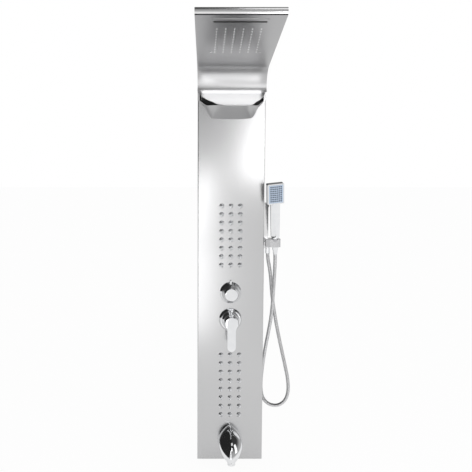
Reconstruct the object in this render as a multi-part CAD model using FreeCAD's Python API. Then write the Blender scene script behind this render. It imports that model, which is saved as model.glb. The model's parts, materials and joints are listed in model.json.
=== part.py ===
import FreeCAD, Part
import math
import os

from FreeCAD import Placement, Rotation, Vector

# Shower panel column, in millimetres.
# X runs to the right, Y into the wall, Z up. The wall plane is y = 0 and the
# origin is the centre of the four wall fixing holes. "reach" is a distance
# in front of the panel's front face, towards the person in the shower.

# ---------------------------------------------------------------- column
panel_width = 220.0
panel_depth = 60.0
panel_bottom = -620.0
panel_top = 578.0
side_taper = 12.0          # each side return leans in by this much at the wall
back_rim = 14.0
sheet = 1.5
bend_radius = 3.0
slip = 0.3                 # gap between pieces that are assembled loosely
hole_clearance = 0.5       # round a neck or shank that passes through the sheet
cap_recess = 2.0

# ---------------------------------------------------------------- head
lip_reach = 362.0
lip_bottom = 763.0
lip_height = 19.0
lip_width = 248.0
trim_thickness = 3.0
head_slope = 15.2          # degrees, underside of the head
curl_reach = 8.0           # deepest point of the curl
curl_radius = 65.0
tuck_radius = 22.0
tuck_turn = 65.0           # degrees
tongue_run = 181.0
tongue_drop = 53.0
tongue_root_half = 104.0
tongue_tip_half = 36.0
back_arc_radius = 110.0
cheek_strip = 7.0          # front strip left beside the mouth
skirt_bottom = 518.0       # of the plate behind the mouth

# ---------------------------------------------------------------- mouth scoop
scoop_bottom = 520.5
scoop_half_bottom = 49.0
scoop_half_top = panel_width / 2 - cheek_strip
scoop_reach = 50.0
scoop_edge_z = 559.0
scoop_ear_z = 575.0

# ---------------------------------------------------------------- waterfall and rain
slot_length = 145.0
slot_gap = 8.0
slot_offset = 36.3         # from the lip, along the slope
rim_length = 156.0
rim_height = 27.0
rim_proud = 2.0
water_box_height = 12.0
water_box_wall = 1.5
nozzle_columns = 6
nozzle_rows = 10
nozzle_pitch_x = 24.7
nozzle_pitch_s = 15.8
nozzle_first_s = 79.8
nozzle_radius = 2.4
nozzle_proud = 1.6
head_screw_x = 72.0
chamber_margin = 7.0

# ---------------------------------------------------------------- body jets
jet_pitch_x = 30.5
jet_rows = 8
upper_jet_top = 239.0
upper_jet_pitch = 27.8
lower_jet_top = -258.9
lower_jet_pitch = 29.4
jet_radius = 8.1
jet_height = 5.0
jet_tip_radius = 4.3
jet_hole_radius = 5.0
jet_orifice = 1.3
manifold_half_width = 45.0
manifold_depth = 16.0
manifold_wall = 1.5
manifold_margin = 13.0
manifold_front = 6.0       # behind the front face

# ---------------------------------------------------------------- diverter
diverter_z = -47.4
diverter_flange_radius = 35.5
diverter_flange_height = 9.0
knob_reach = 48.0
knob_face_radius = 19.5
knob_base_radius = 29.0
diverter_cartridge_radius = 13.0

# ---------------------------------------------------------------- mixer
mixer_z = -138.4
mixer_flange_radius = 38.0
mixer_flange_height = 10.0
mixer_cartridge_radius = 16.7
lever_reach = 70.0
lever_face_radius = 20.8
lever_width = 27.0
lever_bottom = -229.0
lever_ball_radius = 20.0
lever_pin_radius = 2.5
rib_half = 15.5            # of the rounded rib behind the blade
rib_reach_down = 50.0
pin_running = 0.05

# ---------------------------------------------------------------- valve bodies and pipes
valve_front = 4.0          # behind the front face
valve_depth = 26.0
diverter_body_radius = 24.0
mixer_body_radius = 27.0
pipe_radius = 5.0
pipe_bore = 3.5
pipe_row_y = 20.0 - panel_depth
inlet_x = 60.0
inlet_z = -205.0
inlet_thread_radius = 9.5
inlet_length = 11.0

# ---------------------------------------------------------------- spout
spout_z = -555.0
spout_reach = 90.0
spout_half_width = 41.5
spout_top = -500.5
spout_bottom = -587.0
aerator_radius = 12.7
aerator_length = 13.0
shank_radius = 9.0
spout_mouth_radius = 15.5
spout_sections = 7
spout_ring_points = 28

# ---------------------------------------------------------------- wall fixing
hole_spacing_x = 120.0
hole_spacing_z = 800.0
fixing_hole_radius = 3.25
bracket_half_width = 78.0
bracket_height = 36.0
bracket_sheet = 2.0
rail_thickness = 3.0

# ---------------------------------------------------------------- handset and holder
side_x = panel_width / 2   # the column's right side, which these pieces stand on
holder_x = side_x + 31.5
holder_y = -88.0
holder_z = 121.3
holder_height = 26.6
holder_right = side_x + 48.0
holder_left = side_x + 1.0
handset_tilt = 15.0
handset_turn = 10.0
handset_lean = 3.0         # towards the column
handset_head_width = 54.0
handset_head_height = 66.0
handset_head_depth = 20.0
handset_head_start = 135.0
handle_width = 29.0
handle_depth = 18.0
grip_cone_top = 11.5
grip_cone_bottom = 9.5
grip_cone_length = 46.0
face_columns = 6
face_rows = 8
face_pitch = 6.6
outlet_x = side_x + 11.0
outlet_y = -62.0
plate_front = panel_depth - 8.0
plate_back = panel_depth - 20.0
plate_right = side_x + 13.0
union_radius = 6.0         # of the feed's end, which passes the column's side into the plate
union_bore = 3.0
union_end = side_x + 8.0
plate_top = 250.0
plate_bottom = 100.0
hose_diameter = 12.0
hose_nut_length = 16.0
hose_end_gap = 0.1         # between the hose's end and the moving nut

front_y = -panel_depth

# The free hose, from the outlet nut down, round the bottom of its loop and
# up to the nut under the handset.
hose_route = [
    (121.0, -62.0, 84.0),
    (121.0, -62.0, 68.0),
    (128.0, -57.0, 38.0),
    (134.5, -48.0, -2.0),
    (138.5, -41.0, -50.0),
    (145.5, -38.0, -100.0),
    (157.0, -37.5, -165.0),
    (172.0, -37.0, -235.0),
    (187.0, -36.5, -300.0),
    (197.5, -36.0, -348.0),
    (200.5, -36.0, -392.0),
    (190.5, -35.0, -426.0),
    (166.0, -32.0, -444.5),
    (136.5, -27.0, -442.5),
    (114.5, -20.5, -423.0),
    (108.5, -16.0, -390.0),
    (109.5, -16.0, -348.0),
    (114.0, -20.0, -300.0),
    (121.0, -30.0, -240.0),
    (130.0, -43.0, -180.0),
    (137.5, -55.0, -120.0),
    (140.5, -62.0, -60.0),
    (143.0, -64.0, -8.0),
    (144.8, -66.2, 38.0),
    (144.39, -73.22, 66.22),
    (143.48, -77.88, 83.58),
]


# ================================================================ helpers
def vec(x, y, z):
    return Vector(x, y, z)


def box(x0, x1, y0, y1, z0, z1):
    return Part.makeBox(x1 - x0, y1 - y0, z1 - z0, vec(x0, y0, z0))


def cylinder_y(x, z, y_start, y_end, radius):
    """A cylinder whose axis runs along Y, between two y values."""
    low = min(y_start, y_end)
    return Part.makeCylinder(radius, abs(y_end - y_start), vec(x, low, z), vec(0, 1, 0))


def cylinder_x(x0, x1, y, z, radius):
    return Part.makeCylinder(radius, x1 - x0, vec(x0, y, z), vec(1, 0, 0))


def cylinder_z(x, y, z0, z1, radius):
    return Part.makeCylinder(radius, z1 - z0, vec(x, y, z0))


def face_of(points):
    return Part.Face(Part.makePolygon(points + [points[0]]))


def prism_y(outline_xz, y0, y1):
    face = face_of([vec(x, y0, z) for x, z in outline_xz])
    return face.extrude(vec(0, y1 - y0, 0))


def prism_z(outline_xy, z0, z1):
    face = face_of([vec(x, y, z0) for x, y in outline_xy])
    return face.extrude(vec(0, 0, z1 - z0))


def at_reach(x, reach, z):
    """A point by its distance in front of the panel's front face."""
    return vec(x, front_y - reach, z)


def revolve_y(x, z, outline):
    """Turn an outline of (radius, reach) points round an axis along Y."""
    points = [at_reach(x + radius, reach, z) for radius, reach in outline]
    return face_of(points).revolve(at_reach(x, 0, z), vec(0, 1, 0), 360)


def mirror_x(shape):
    return shape.mirror(vec(0, 0, 0), vec(1, 0, 0))


def nut_across(neck):
    """Width across flats of the nut on a valve's threaded neck."""
    return 2 * neck + 9.0


def nut_cavity(neck):
    """Radius inside a flange that the nut's corners turn in."""
    return nut_across(neck) / math.sqrt(3) + 0.5


def hexagon(centre, axis, across, length):
    """A hexagonal bar from centre along axis, by its width across flats."""
    corner = across / math.sqrt(3)
    points = [vec(corner * math.cos(math.radians(60 * i)), corner * math.sin(math.radians(60 * i)), 0)
              for i in range(6)]
    bar = face_of(points).extrude(vec(0, 0, length))
    bar.Placement = Placement(centre, Rotation(vec(0, 0, 1), axis))
    return bar


def rounded_path(points):
    """Straight runs joined by tangent arcs, and the arcs' radii."""
    points = [vec(*p) for p in points]
    starts = [points[0]]
    edges = []
    radii = []
    for before, corner, after in zip(points, points[1:], points[2:]):
        run_in = corner - before
        run_out = after - corner
        shorter = min(run_in.Length, run_out.Length)
        u = Vector(run_in).normalize()
        w = Vector(run_out).normalize()
        turn = u.getAngle(w)
        trim = 0.45 * shorter
        radius = trim / math.tan(turn / 2)
        radii.append(radius)
        entry = corner - u * trim
        leave = corner + w * trim
        middle_axis = (w - u).normalize()
        middle = corner + middle_axis * (radius / math.cos(turn / 2) - radius)
        edges.append(Part.LineSegment(starts[-1], entry).toShape())
        edges.append(Part.Arc(entry, middle, leave).toShape())
        starts.append(leave)
    edges.append(Part.LineSegment(starts[-1], points[-1]).toShape())
    return Part.Wire(edges), radii


def solid_tube(points, radius):
    path, radii = rounded_path(points)
    direction = vec(*points[1]) - vec(*points[0])
    circle = Part.Wire(Part.makeCircle(radius, vec(*points[0]), direction))
    return path.makePipeShell([circle], True, False), path.Length, radii


def pipe(points, radius=pipe_radius, bore=pipe_bore):
    outer, _, _ = solid_tube(points, radius)
    inner, _, _ = solid_tube(points, bore)
    return outer.cut(inner)


def straight_pipe(start, end, radius=pipe_radius, bore=pipe_bore):
    run = vec(*end) - vec(*start)
    outer = Part.makeCylinder(radius, run.Length, vec(*start), run)
    return outer.cut(Part.makeCylinder(bore, run.Length, vec(*start), run))


parts = {}


def keep(name, shape):
    if isinstance(shape, list):
        shape = Part.makeCompound(shape)
    parts[name] = shape


# ================================================================ column sheet
def return_half(y):
    """Half of the column's outer width at a depth y (0 at the wall)."""
    return panel_width / 2 - side_taper * (1 + y / panel_depth)


def column_outline(inset):
    """Plan of the closed column, moved in by the sheet's thickness."""
    lean = math.hypot(side_taper, panel_depth) / panel_depth
    front = panel_width / 2 - inset * lean - side_taper * inset / panel_depth
    back = panel_width / 2 - side_taper - inset * lean + side_taper * inset / panel_depth
    return [(-front, front_y + inset), (front, front_y + inset), (back, -inset), (-back, -inset)]


def jet_places():
    columns = [-jet_pitch_x, 0.0, jet_pitch_x]
    upper = [(x, upper_jet_top - row * upper_jet_pitch) for row in range(jet_rows) for x in columns]
    lower = [(x, lower_jet_top - row * lower_jet_pitch) for row in range(jet_rows) for x in columns]
    return upper, lower


def mouth_points():
    """The crease where the scoop leaves the front face, left to right."""
    right = [(scoop_half_bottom, scoop_bottom),
             (scoop_half_bottom + 22.0, scoop_bottom + 9.5),
             (scoop_half_top - 17.0, scoop_ear_z - 18.0),
             (scoop_half_top, scoop_ear_z)]
    left = [(-x, z) for x, z in reversed(right)]
    return left + right


upper_jets, lower_jets = jet_places()
neck_radius = mixer_cartridge_radius + 3.3
diverter_neck_radius = diverter_cartridge_radius + 3.0


def make_front_panel():
    column = prism_z(column_outline(0.0), panel_bottom, panel_top)
    front_edges = [e for e in column.Edges
                   if abs(e.Vertexes[0].Y - front_y) < 1e-6 and abs(e.Vertexes[1].Y - front_y) < 1e-6
                   and abs(e.Vertexes[0].X - e.Vertexes[1].X) < 1e-6]
    column = column.makeFillet(bend_radius, front_edges)
    hollow = prism_z(column_outline(sheet), panel_bottom - 1, panel_top + 1)
    rim_inner = panel_width / 2 - side_taper - back_rim
    back_gap = box(-rim_inner, rim_inner, -2 * sheet, 1, panel_bottom - 1, panel_top + 1)
    panel = column.cut(hollow).cut(back_gap)
    mouth = mouth_points() + [(scoop_half_top, panel_top + 1), (-scoop_half_top, panel_top + 1)]
    cuts = [prism_y(mouth, front_y - 1, front_y + 2 * sheet)]
    for x, z in upper_jets + lower_jets:
        cuts.append(cylinder_y(x, z, front_y - 1, front_y + 2 * sheet, jet_hole_radius))
    cuts.append(cylinder_y(0, diverter_z, front_y - 1, front_y + 2 * sheet,
                           diverter_neck_radius + hole_clearance))
    cuts.append(cylinder_y(0, mixer_z, front_y - 1, front_y + 2 * sheet, neck_radius + hole_clearance))
    cuts.append(cylinder_y(0, spout_z, front_y - 1, front_y + 2 * sheet, shank_radius + hole_clearance))
    cuts.append(cylinder_x(side_x - 20, side_x + 10, -(plate_front + plate_back) / 2, holder_z,
                           union_radius + hole_clearance))
    return panel.cut(cuts)


def make_mouth_scoop():
    """A pressed lip that leans out of the front face below the tongue."""
    crease = [(x, 0.0, z) for x, z in mouth_points()]
    edge_right = [(40.0, scoop_reach, scoop_edge_z),
                  (62.0, scoop_reach * 0.72, scoop_edge_z + 1.0),
                  (84.0, scoop_reach * 0.2, scoop_edge_z + 4.0),
                  (scoop_half_top, 0.4, panel_top)]
    edge = [(-x, reach, z) for x, reach, z in reversed(edge_right)] + edge_right
    front_low = [at_reach(*p) for p in crease]
    front_high = [at_reach(*p) for p in edge]
    back = vec(0, sheet, 0)
    faces = []
    for i in range(len(crease) - 1):
        a, b, c, d = front_low[i], front_low[i + 1], front_high[i + 1], front_high[i]
        faces += [face_of([a, b, c]), face_of([a, c, d])]
        faces += [face_of([a + back, b + back, c + back]), face_of([a + back, c + back, d + back])]
        faces.append(face_of([a, b, b + back, a + back]))
        faces.append(face_of([d, c, c + back, d + back]))
    faces.append(face_of([front_low[0], front_high[0], front_high[0] + back, front_low[0] + back]))
    faces.append(face_of([front_low[-1], front_high[-1], front_high[-1] + back, front_low[-1] + back]))
    return Part.Solid(Part.Shell(faces))


def make_bottom_cap():
    outline = column_outline(sheet + slip)
    rim_clear = [(x, min(y, -2 * sheet)) for x, y in outline]
    plate = prism_z(rim_clear, panel_bottom + cap_recess, panel_bottom + cap_recess + sheet)
    flange = prism_z(rim_clear, panel_bottom + cap_recess, panel_bottom + cap_recess + 14.0)
    inner = prism_z([(x * 0.975, y + (1.5 if y < -30 else -1.5)) for x, y in rim_clear],
                    panel_bottom + cap_recess + sheet, panel_bottom + cap_recess + 20.0)
    return flange.cut(inner).fuse(plate).removeSplitter()


# ================================================================ head
slope = math.radians(head_slope)
slope_run = math.tan(slope)


def underside_z(reach):
    return lip_bottom - slope_run * (lip_reach - reach)


def curl_centre(radius):
    """Centre of the curl: it touches the underside and the deepest reach."""
    reach = curl_reach + radius
    return reach, underside_z(reach) - radius / math.cos(slope)


def head_frame(x, along, up):
    """A point in the head's own slope: along from the lip, up from the skin."""
    reach = lip_reach - along * math.cos(slope) - up * math.sin(slope)
    z = lip_bottom - along * math.sin(slope) + up * math.cos(slope)
    return at_reach(x, reach, z)


slope_placement = Placement(at_reach(0, lip_reach, lip_bottom), Rotation(vec(1, 0, 0), -head_slope))


def on_slope(shape):
    """Place a shape modelled flat (X, along, up) on the head's underside."""
    shape.Placement = slope_placement.multiply(shape.Placement)
    return shape


def plan_half(reach):
    """Half of the head's width at a reach: it widens towards the lip."""
    if reach < 0:
        return return_half(front_y - reach)
    return panel_width / 2 + (lip_width - panel_width) / 2 * reach / lip_reach


def head_plan(inset, z0, z1):
    """A vertical prism with the head's plan outline, moved in by inset."""
    reaches = [-panel_depth, 0.0, lip_reach]
    right = [(plan_half(r) - inset, front_y - r) for r in reaches]
    left = [(-x, y) for x, y in reversed(right)]
    return prism_z(right + left, z0, z1)


def arc_points(centre, radius, degrees):
    """Three points of an arc in the side view, as (reach, z)."""
    angles = [degrees[0], (degrees[0] + degrees[1]) / 2, degrees[1]]
    return [(centre[0] + radius * math.cos(math.radians(a)), centre[1] + radius * math.sin(math.radians(a)))
            for a in angles]


def side_wire(segments):
    """Edges in the side view, from lists of 2 points (line) or 3 (arc)."""
    edges = []
    for segment in segments:
        points = [at_reach(0, reach, z) for reach, z in segment]
        if len(points) == 2:
            edges.append(Part.LineSegment(points[0], points[1]).toShape())
        else:
            edges.append(Part.Arc(*points).toShape())
    return Part.Wire(Part.__sortEdges__(edges))


def extrude_x(wire, half):
    face = Part.Face(wire)
    solid = face.extrude(vec(2 * half, 0, 0))
    solid.translate(vec(-half, 0, 0))
    return solid


def skin_profile(offset):
    """The head sheet's side view at an offset behind its visible face.

    Returns the segments from the lip, along the underside, round the curl
    and out to the tip of the tongue.
    """
    front = lip_reach - trim_thickness
    centre = curl_centre(curl_radius)
    radius = curl_radius + offset
    start = (front, underside_z(front) + offset / math.cos(slope))
    curl = arc_points(centre, radius, (90 + head_slope, 180))
    tuck_centre = (curl_reach + tuck_radius, centre[1])
    tuck = arc_points(tuck_centre, tuck_radius + offset, (180, 180 + tuck_turn))
    heading = math.radians(tuck_turn - 90)
    root = tuck[2]
    tip = (tuck_centre[0] - tuck_radius * math.cos(math.radians(tuck_turn)) + tongue_run,
           tuck_centre[1] - tuck_radius * math.sin(math.radians(tuck_turn)) - tongue_drop)
    tip = (tip[0] - offset * 0.16, tip[1] - offset)
    chord = (tip[0] - root[0], tip[1] - root[1])
    length = math.hypot(*chord)
    bend = math.atan2(chord[1], chord[0]) - heading
    sag = length / 2 * math.tan(bend / 2)
    middle = ((root[0] + tip[0]) / 2 + sag * chord[1] / length,
              (root[1] + tip[1]) / 2 - sag * chord[0] / length)
    return [[start, curl[0]], curl, tuck, [root, middle, tip]]


def tongue_outline():
    """Plan of the tongue: a smooth taper with a blunt rounded tip."""
    tip_reach = curl_reach + tongue_run + 13.0
    right = [vec(tongue_root_half, front_y + 30, 0),
             vec(tongue_root_half, front_y - 14, 0),
             vec(95.0, front_y - 49, 0),
             vec(64.5, front_y - 118, 0),
             vec(50.0, front_y - 172, 0),
             vec(tongue_tip_half, front_y - tip_reach, 0)]
    curve = Part.BSplineCurve()
    curve.interpolate(right[1:])
    left_curve = Part.BSplineCurve()
    left_curve.interpolate([vec(-p.x, p.y, 0) for p in reversed(right[1:])])
    edges = [Part.LineSegment(right[0], right[1]).toShape(), curve.toShape(),
             Part.LineSegment(right[-1], vec(-right[-1].x, right[-1].y, 0)).toShape(), left_curve.toShape(),
             Part.LineSegment(vec(-right[1].x, right[1].y, 0), vec(-right[0].x, right[0].y, 0)).toShape(),
             Part.LineSegment(vec(-right[0].x, right[0].y, 0), right[0]).toShape()]
    return Part.Wire(edges)


def make_head_sheet():
    """Underside, curl and tongue of the head, bent from one sheet."""
    outer = skin_profile(0.0)
    inner = skin_profile(sheet)
    closing = [[outer[0][0], inner[0][0]], [outer[-1][-1], inner[-1][-1]]]
    blank = extrude_x(side_wire(outer + closing + inner), lip_width)
    split_z = curl_centre(curl_radius)[1]
    upper = blank.common(head_plan(0.0, split_z - 3.0, lip_bottom + 50))
    tongue_prism = Part.Face(tongue_outline()).extrude(vec(0, 0, split_z))
    lower = blank.common(tongue_prism).common(box(-200, 200, -500, 50, 0, split_z - 3.0))
    skin = upper.fuse(lower).removeSplitter()
    cuts = [on_slope(box(-slot_length / 2, slot_length / 2, slot_offset - slot_gap / 2,
                         slot_offset + slot_gap / 2, -5, 8))]
    for x, s in rain_places():
        hole = Part.makeCylinder(nozzle_radius + 0.1, 12, vec(x, s, -5))
        cuts.append(on_slope(hole))
    for x in (-head_screw_x, head_screw_x):
        cuts.append(on_slope(Part.makeCylinder(1.8, 12, vec(x, rain_last_s(), -5))))
    return skin.cut(cuts)


def rain_last_s():
    return nozzle_first_s + (nozzle_rows - 1) * nozzle_pitch_s


def rain_places():
    first_x = -(nozzle_columns - 1) / 2 * nozzle_pitch_x
    return [(first_x + column * nozzle_pitch_x, nozzle_first_s + row * nozzle_pitch_s)
            for row in range(nozzle_rows) for column in range(nozzle_columns)]


def shell_profile(inset, drop):
    """Side view of the head's casing, moved in, and lowered past the skin."""
    front = lip_reach - trim_thickness - inset
    rise = lip_height / math.cos(slope) - inset / math.cos(slope)
    back_reach = -panel_depth + inset
    radius = back_arc_radius - inset
    arc_reach = -panel_depth + back_arc_radius
    arc_z = underside_z(arc_reach) + lip_height / math.cos(slope) - back_arc_radius / math.cos(slope)
    arc = arc_points((arc_reach, arc_z), radius, (90 + head_slope, 180))
    skin = skin_profile(sheet)
    top_front = (front, underside_z(front) + rise)
    if drop:
        low_front = (front, underside_z(front) - drop)
        low_back = (back_reach, panel_top - drop)
        low_mid = (curl_reach + curl_radius, panel_top - drop)
        return [[low_front, top_front], [top_front, arc[0]], arc, [arc[2], low_back],
                [low_back, low_mid], [low_mid, low_front]]
    curl_low = skin[1][2]
    low_front = (front, skin[0][0][1])
    strip_top = (0.0, curl_low[1])
    strip_low = (0.0, panel_top)
    back_low = (back_reach, panel_top)
    return [[low_front, top_front], [top_front, arc[0]], arc, [arc[2], back_low], [back_low, strip_low],
            [strip_low, strip_top], [strip_top, curl_low], list(reversed(skin[1])), [skin[0][1], low_front]]


def make_head_shell():
    """Top, back with its skirt, cheeks and the two strips beside the mouth."""
    outer = extrude_x(side_wire(shell_profile(0.0, 0.0)), lip_width).common(
        head_plan(0.0, panel_top - 5, lip_bottom + 60))
    inner = extrude_x(side_wire(shell_profile(sheet, 30.0)), lip_width)
    inner = inner.common(head_plan(sheet, panel_top - 60, lip_bottom + 60))
    strip_z = curl_centre(curl_radius)[1]
    strip_keep = box(-lip_width, lip_width, front_y - 20, front_y + sheet, panel_top - 60, strip_z)
    shell = outer.cut(inner.cut(strip_keep))
    mouth = box(-scoop_half_top, scoop_half_top, front_y - 30, front_y + 3 * sheet,
                panel_top - 60, strip_z + 1)
    skirt_half = panel_width / 2 - side_taper - back_rim - slip
    skirt = box(-skirt_half, skirt_half, -sheet, 0, skirt_bottom, panel_top + 2)
    return shell.cut(mouth).fuse(skirt).removeSplitter()


def make_lip_trim():
    half = lip_width / 2
    z0 = underside_z(lip_reach)
    bar = box(-half, half, front_y - lip_reach, front_y - lip_reach + trim_thickness, z0, z0 + lip_height)
    edges = [e for e in bar.Edges if abs(e.Vertexes[0].Y - (front_y - lip_reach)) < 1e-6
             and abs(e.Vertexes[1].Y - (front_y - lip_reach)) < 1e-6
             and abs(e.Vertexes[0].Z - e.Vertexes[1].Z) < 1e-6]
    return bar.makeFillet(1.2, edges)


def hollow_box(x0, x1, y0, y1, z0, z1, wall):
    hollow = box(x0 + wall, x1 - wall, y0 + wall, y1 - wall, z0 + wall, z1 - wall)
    return box(x0, x1, y0, y1, z0, z1).cut(hollow)


def make_waterfall():
    half = rim_length / 2
    plate = box(-half, half, slot_offset - rim_height / 2, slot_offset + rim_height / 2, -rim_proud, 0)
    plate = plate.makeFillet(5.0, [e for e in plate.Edges if abs(e.Vertexes[0].Z - e.Vertexes[1].Z) > 1])
    slot = box(-slot_length / 2, slot_length / 2, slot_offset - slot_gap / 2,
               slot_offset + slot_gap / 2, -5, 5)
    keep("waterfall_rim", on_slope(plate.cut(slot)))
    body = hollow_box(-half - 2, half + 2, slot_offset - 17, slot_offset + 17,
                      sheet, sheet + water_box_height, water_box_wall)
    inlet = cylinder_x(half, half + 5, slot_offset, sheet + water_box_height / 2, pipe_bore)
    keep("waterfall_box", on_slope(body.cut([slot, inlet])))


def make_rain():
    half = (nozzle_columns - 1) / 2 * nozzle_pitch_x + chamber_margin
    start = nozzle_first_s - chamber_margin
    end = rain_last_s() + chamber_margin
    body = hollow_box(-half, half, start, end, sheet, sheet + water_box_height, water_box_wall)
    ports = [Part.makeCylinder(nozzle_radius + 0.1, 4, vec(x, s, 0.5)) for x, s in rain_places()]
    ports.append(Part.makeCylinder(pipe_bore, 5, vec(-half + 20, end - 4, sheet + water_box_height / 2),
                                   vec(0, 1, 0)))
    keep("rain_chamber", on_slope(body.cut(ports)))
    nozzles = []
    for x, s in rain_places():
        stem = Part.makeCylinder(nozzle_radius, sheet + 1.5 + nozzle_proud, vec(x, s, -nozzle_proud))
        collar = Part.makeCylinder(nozzle_radius + 0.9, 1.0, vec(x, s, sheet + water_box_wall))
        bore = Part.makeCylinder(0.7, 12, vec(x, s, -4))
        nozzles.append(on_slope(stem.fuse(collar).cut(bore)))
    keep("rain_nozzles", nozzles)
    screws = []
    for x in (-head_screw_x, head_screw_x):
        head = Part.makeCylinder(3.0, 1.6, vec(x, rain_last_s(), -1.6))
        shaft = Part.makeCylinder(1.6, sheet + 4.0, vec(x, rain_last_s(), 0))
        screws.append(on_slope(head.fuse(shaft)))
    keep("head_screws", screws)
    return half, end


# ================================================================ jets
def make_jets(name, places):
    manifold_y = front_y + manifold_front
    rings = []
    tips = []
    shank = jet_hole_radius - 0.4
    for x, z in places:
        ring = revolve_y(x, z, [(jet_tip_radius + 0.6, 0), (jet_radius, 0), (jet_radius, 1.4),
                                (jet_radius - 0.9, 3.2), (jet_radius - 2.4, jet_height - 0.4),
                                (jet_tip_radius + 0.9, jet_height), (jet_tip_radius + 0.6, jet_height - 0.6)])
        rings.append(ring)
        tip = revolve_y(x, z, [(0, -manifold_front), (shank, -manifold_front), (shank, 0.6),
                               (jet_tip_radius, 1.0), (jet_tip_radius, 4.2), (jet_tip_radius - 0.8, 5.6),
                               (jet_tip_radius - 2.0, 6.5), (0, 6.8)])
        tips.append(tip.cut(cylinder_y(x, z, manifold_y + 1, front_y - 9, jet_orifice)))
    keep(name + "_jet_rings", rings)
    keep(name + "_jet_tips", tips)
    highest = max(z for _, z in places) + manifold_margin
    lowest = min(z for _, z in places) - manifold_margin
    body = hollow_box(-manifold_half_width, manifold_half_width, manifold_y, manifold_y + manifold_depth,
                      lowest, highest, manifold_wall)
    ports = [cylinder_y(x, z, manifold_y - 1, manifold_y + 2 * manifold_wall, jet_orifice + 1.2)
             for x, z in places]
    if name == "upper":
        ports.append(cylinder_z(0, pipe_row_y, lowest - 1, lowest + 3, pipe_bore))
    else:
        ports.append(cylinder_x(-manifold_half_width - 1, -manifold_half_width + 3, pipe_row_y - 6,
                                highest - 18, pipe_bore))
    keep(name + "_manifold", body.cut(ports))


# ================================================================ diverter
def make_diverter():
    z = diverter_z
    body_front = front_y + valve_front
    body_back = body_front + valve_depth
    neck_front = front_y - 6.0
    cart = diverter_cartridge_radius
    body = cylinder_y(0, z, body_front, body_back, diverter_body_radius)
    neck = cylinder_y(0, z, neck_front, body_front + 1, diverter_neck_radius)
    bore = cylinder_y(0, z, neck_front - 1, body_back - 5, cart + slip)
    keep("diverter_body", body.fuse(neck).cut(bore))
    knob_floor = knob_reach - 14.0
    keep("diverter_cartridge", cylinder_y(0, z, body_back - 5 - slip, front_y - knob_floor + 6, cart))
    nut = hexagon(vec(0, front_y, z), vec(0, -1, 0), nut_across(diverter_neck_radius), 4.5)
    keep("diverter_nut", nut.cut(cylinder_y(0, z, front_y + 5, front_y - 9, diverter_neck_radius + 0.1)))
    rf = diverter_flange_radius
    h = diverter_flange_height
    cavity = nut_cavity(diverter_neck_radius)
    flange = revolve_y(0, z, [(cavity, 0), (rf, 0), (rf, 1.6), (rf - 2.2, 4.6),
                              (rf - 6.5, h - 0.5), (rf - 9.0, h), (diverter_neck_radius + 1.0, h),
                              (diverter_neck_radius + 1.0, h - 2), (cavity, h - 3)])
    keep("diverter_flange", flange)
    face = knob_reach
    base = h + slip
    knob = revolve_y(0, z, [(0, base), (knob_base_radius, base), (knob_base_radius + 1.5, base + 3),
                            (knob_base_radius - 1.0, base + 10), (knob_face_radius + 4.0, face - 8),
                            (knob_face_radius + 1.6, face - 2), (knob_face_radius, face), (0, face)])
    cavity = cylinder_y(0, z, front_y - base + 1, front_y - knob_floor, cart + slip)
    seat = cylinder_y(0, z, front_y - knob_floor + 1, front_y - knob_floor - 8, 4.0)
    pointer = box(-2.2, 2.2, front_y - base - 5.0, front_y - base - 1.5,
                  z + knob_base_radius - 4, z + rf + 4.5)
    screw_hole = Part.makeCylinder(2.0, 30, vec(0, front_y - knob_floor - 4, z), vec(0, 0, -1))
    keep("diverter_knob", knob.fuse(pointer).cut([cavity, seat, screw_hole]))
    stem = cylinder_y(0, z, front_y - knob_floor + 6 - slip, front_y - knob_floor - 8, 4.0)
    keep("diverter_stem", stem)
    keep("knob_screw", Part.makeCylinder(2.0, 12, vec(0, front_y - knob_floor - 4, z - 4.0), vec(0, 0, -1)))


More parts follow.
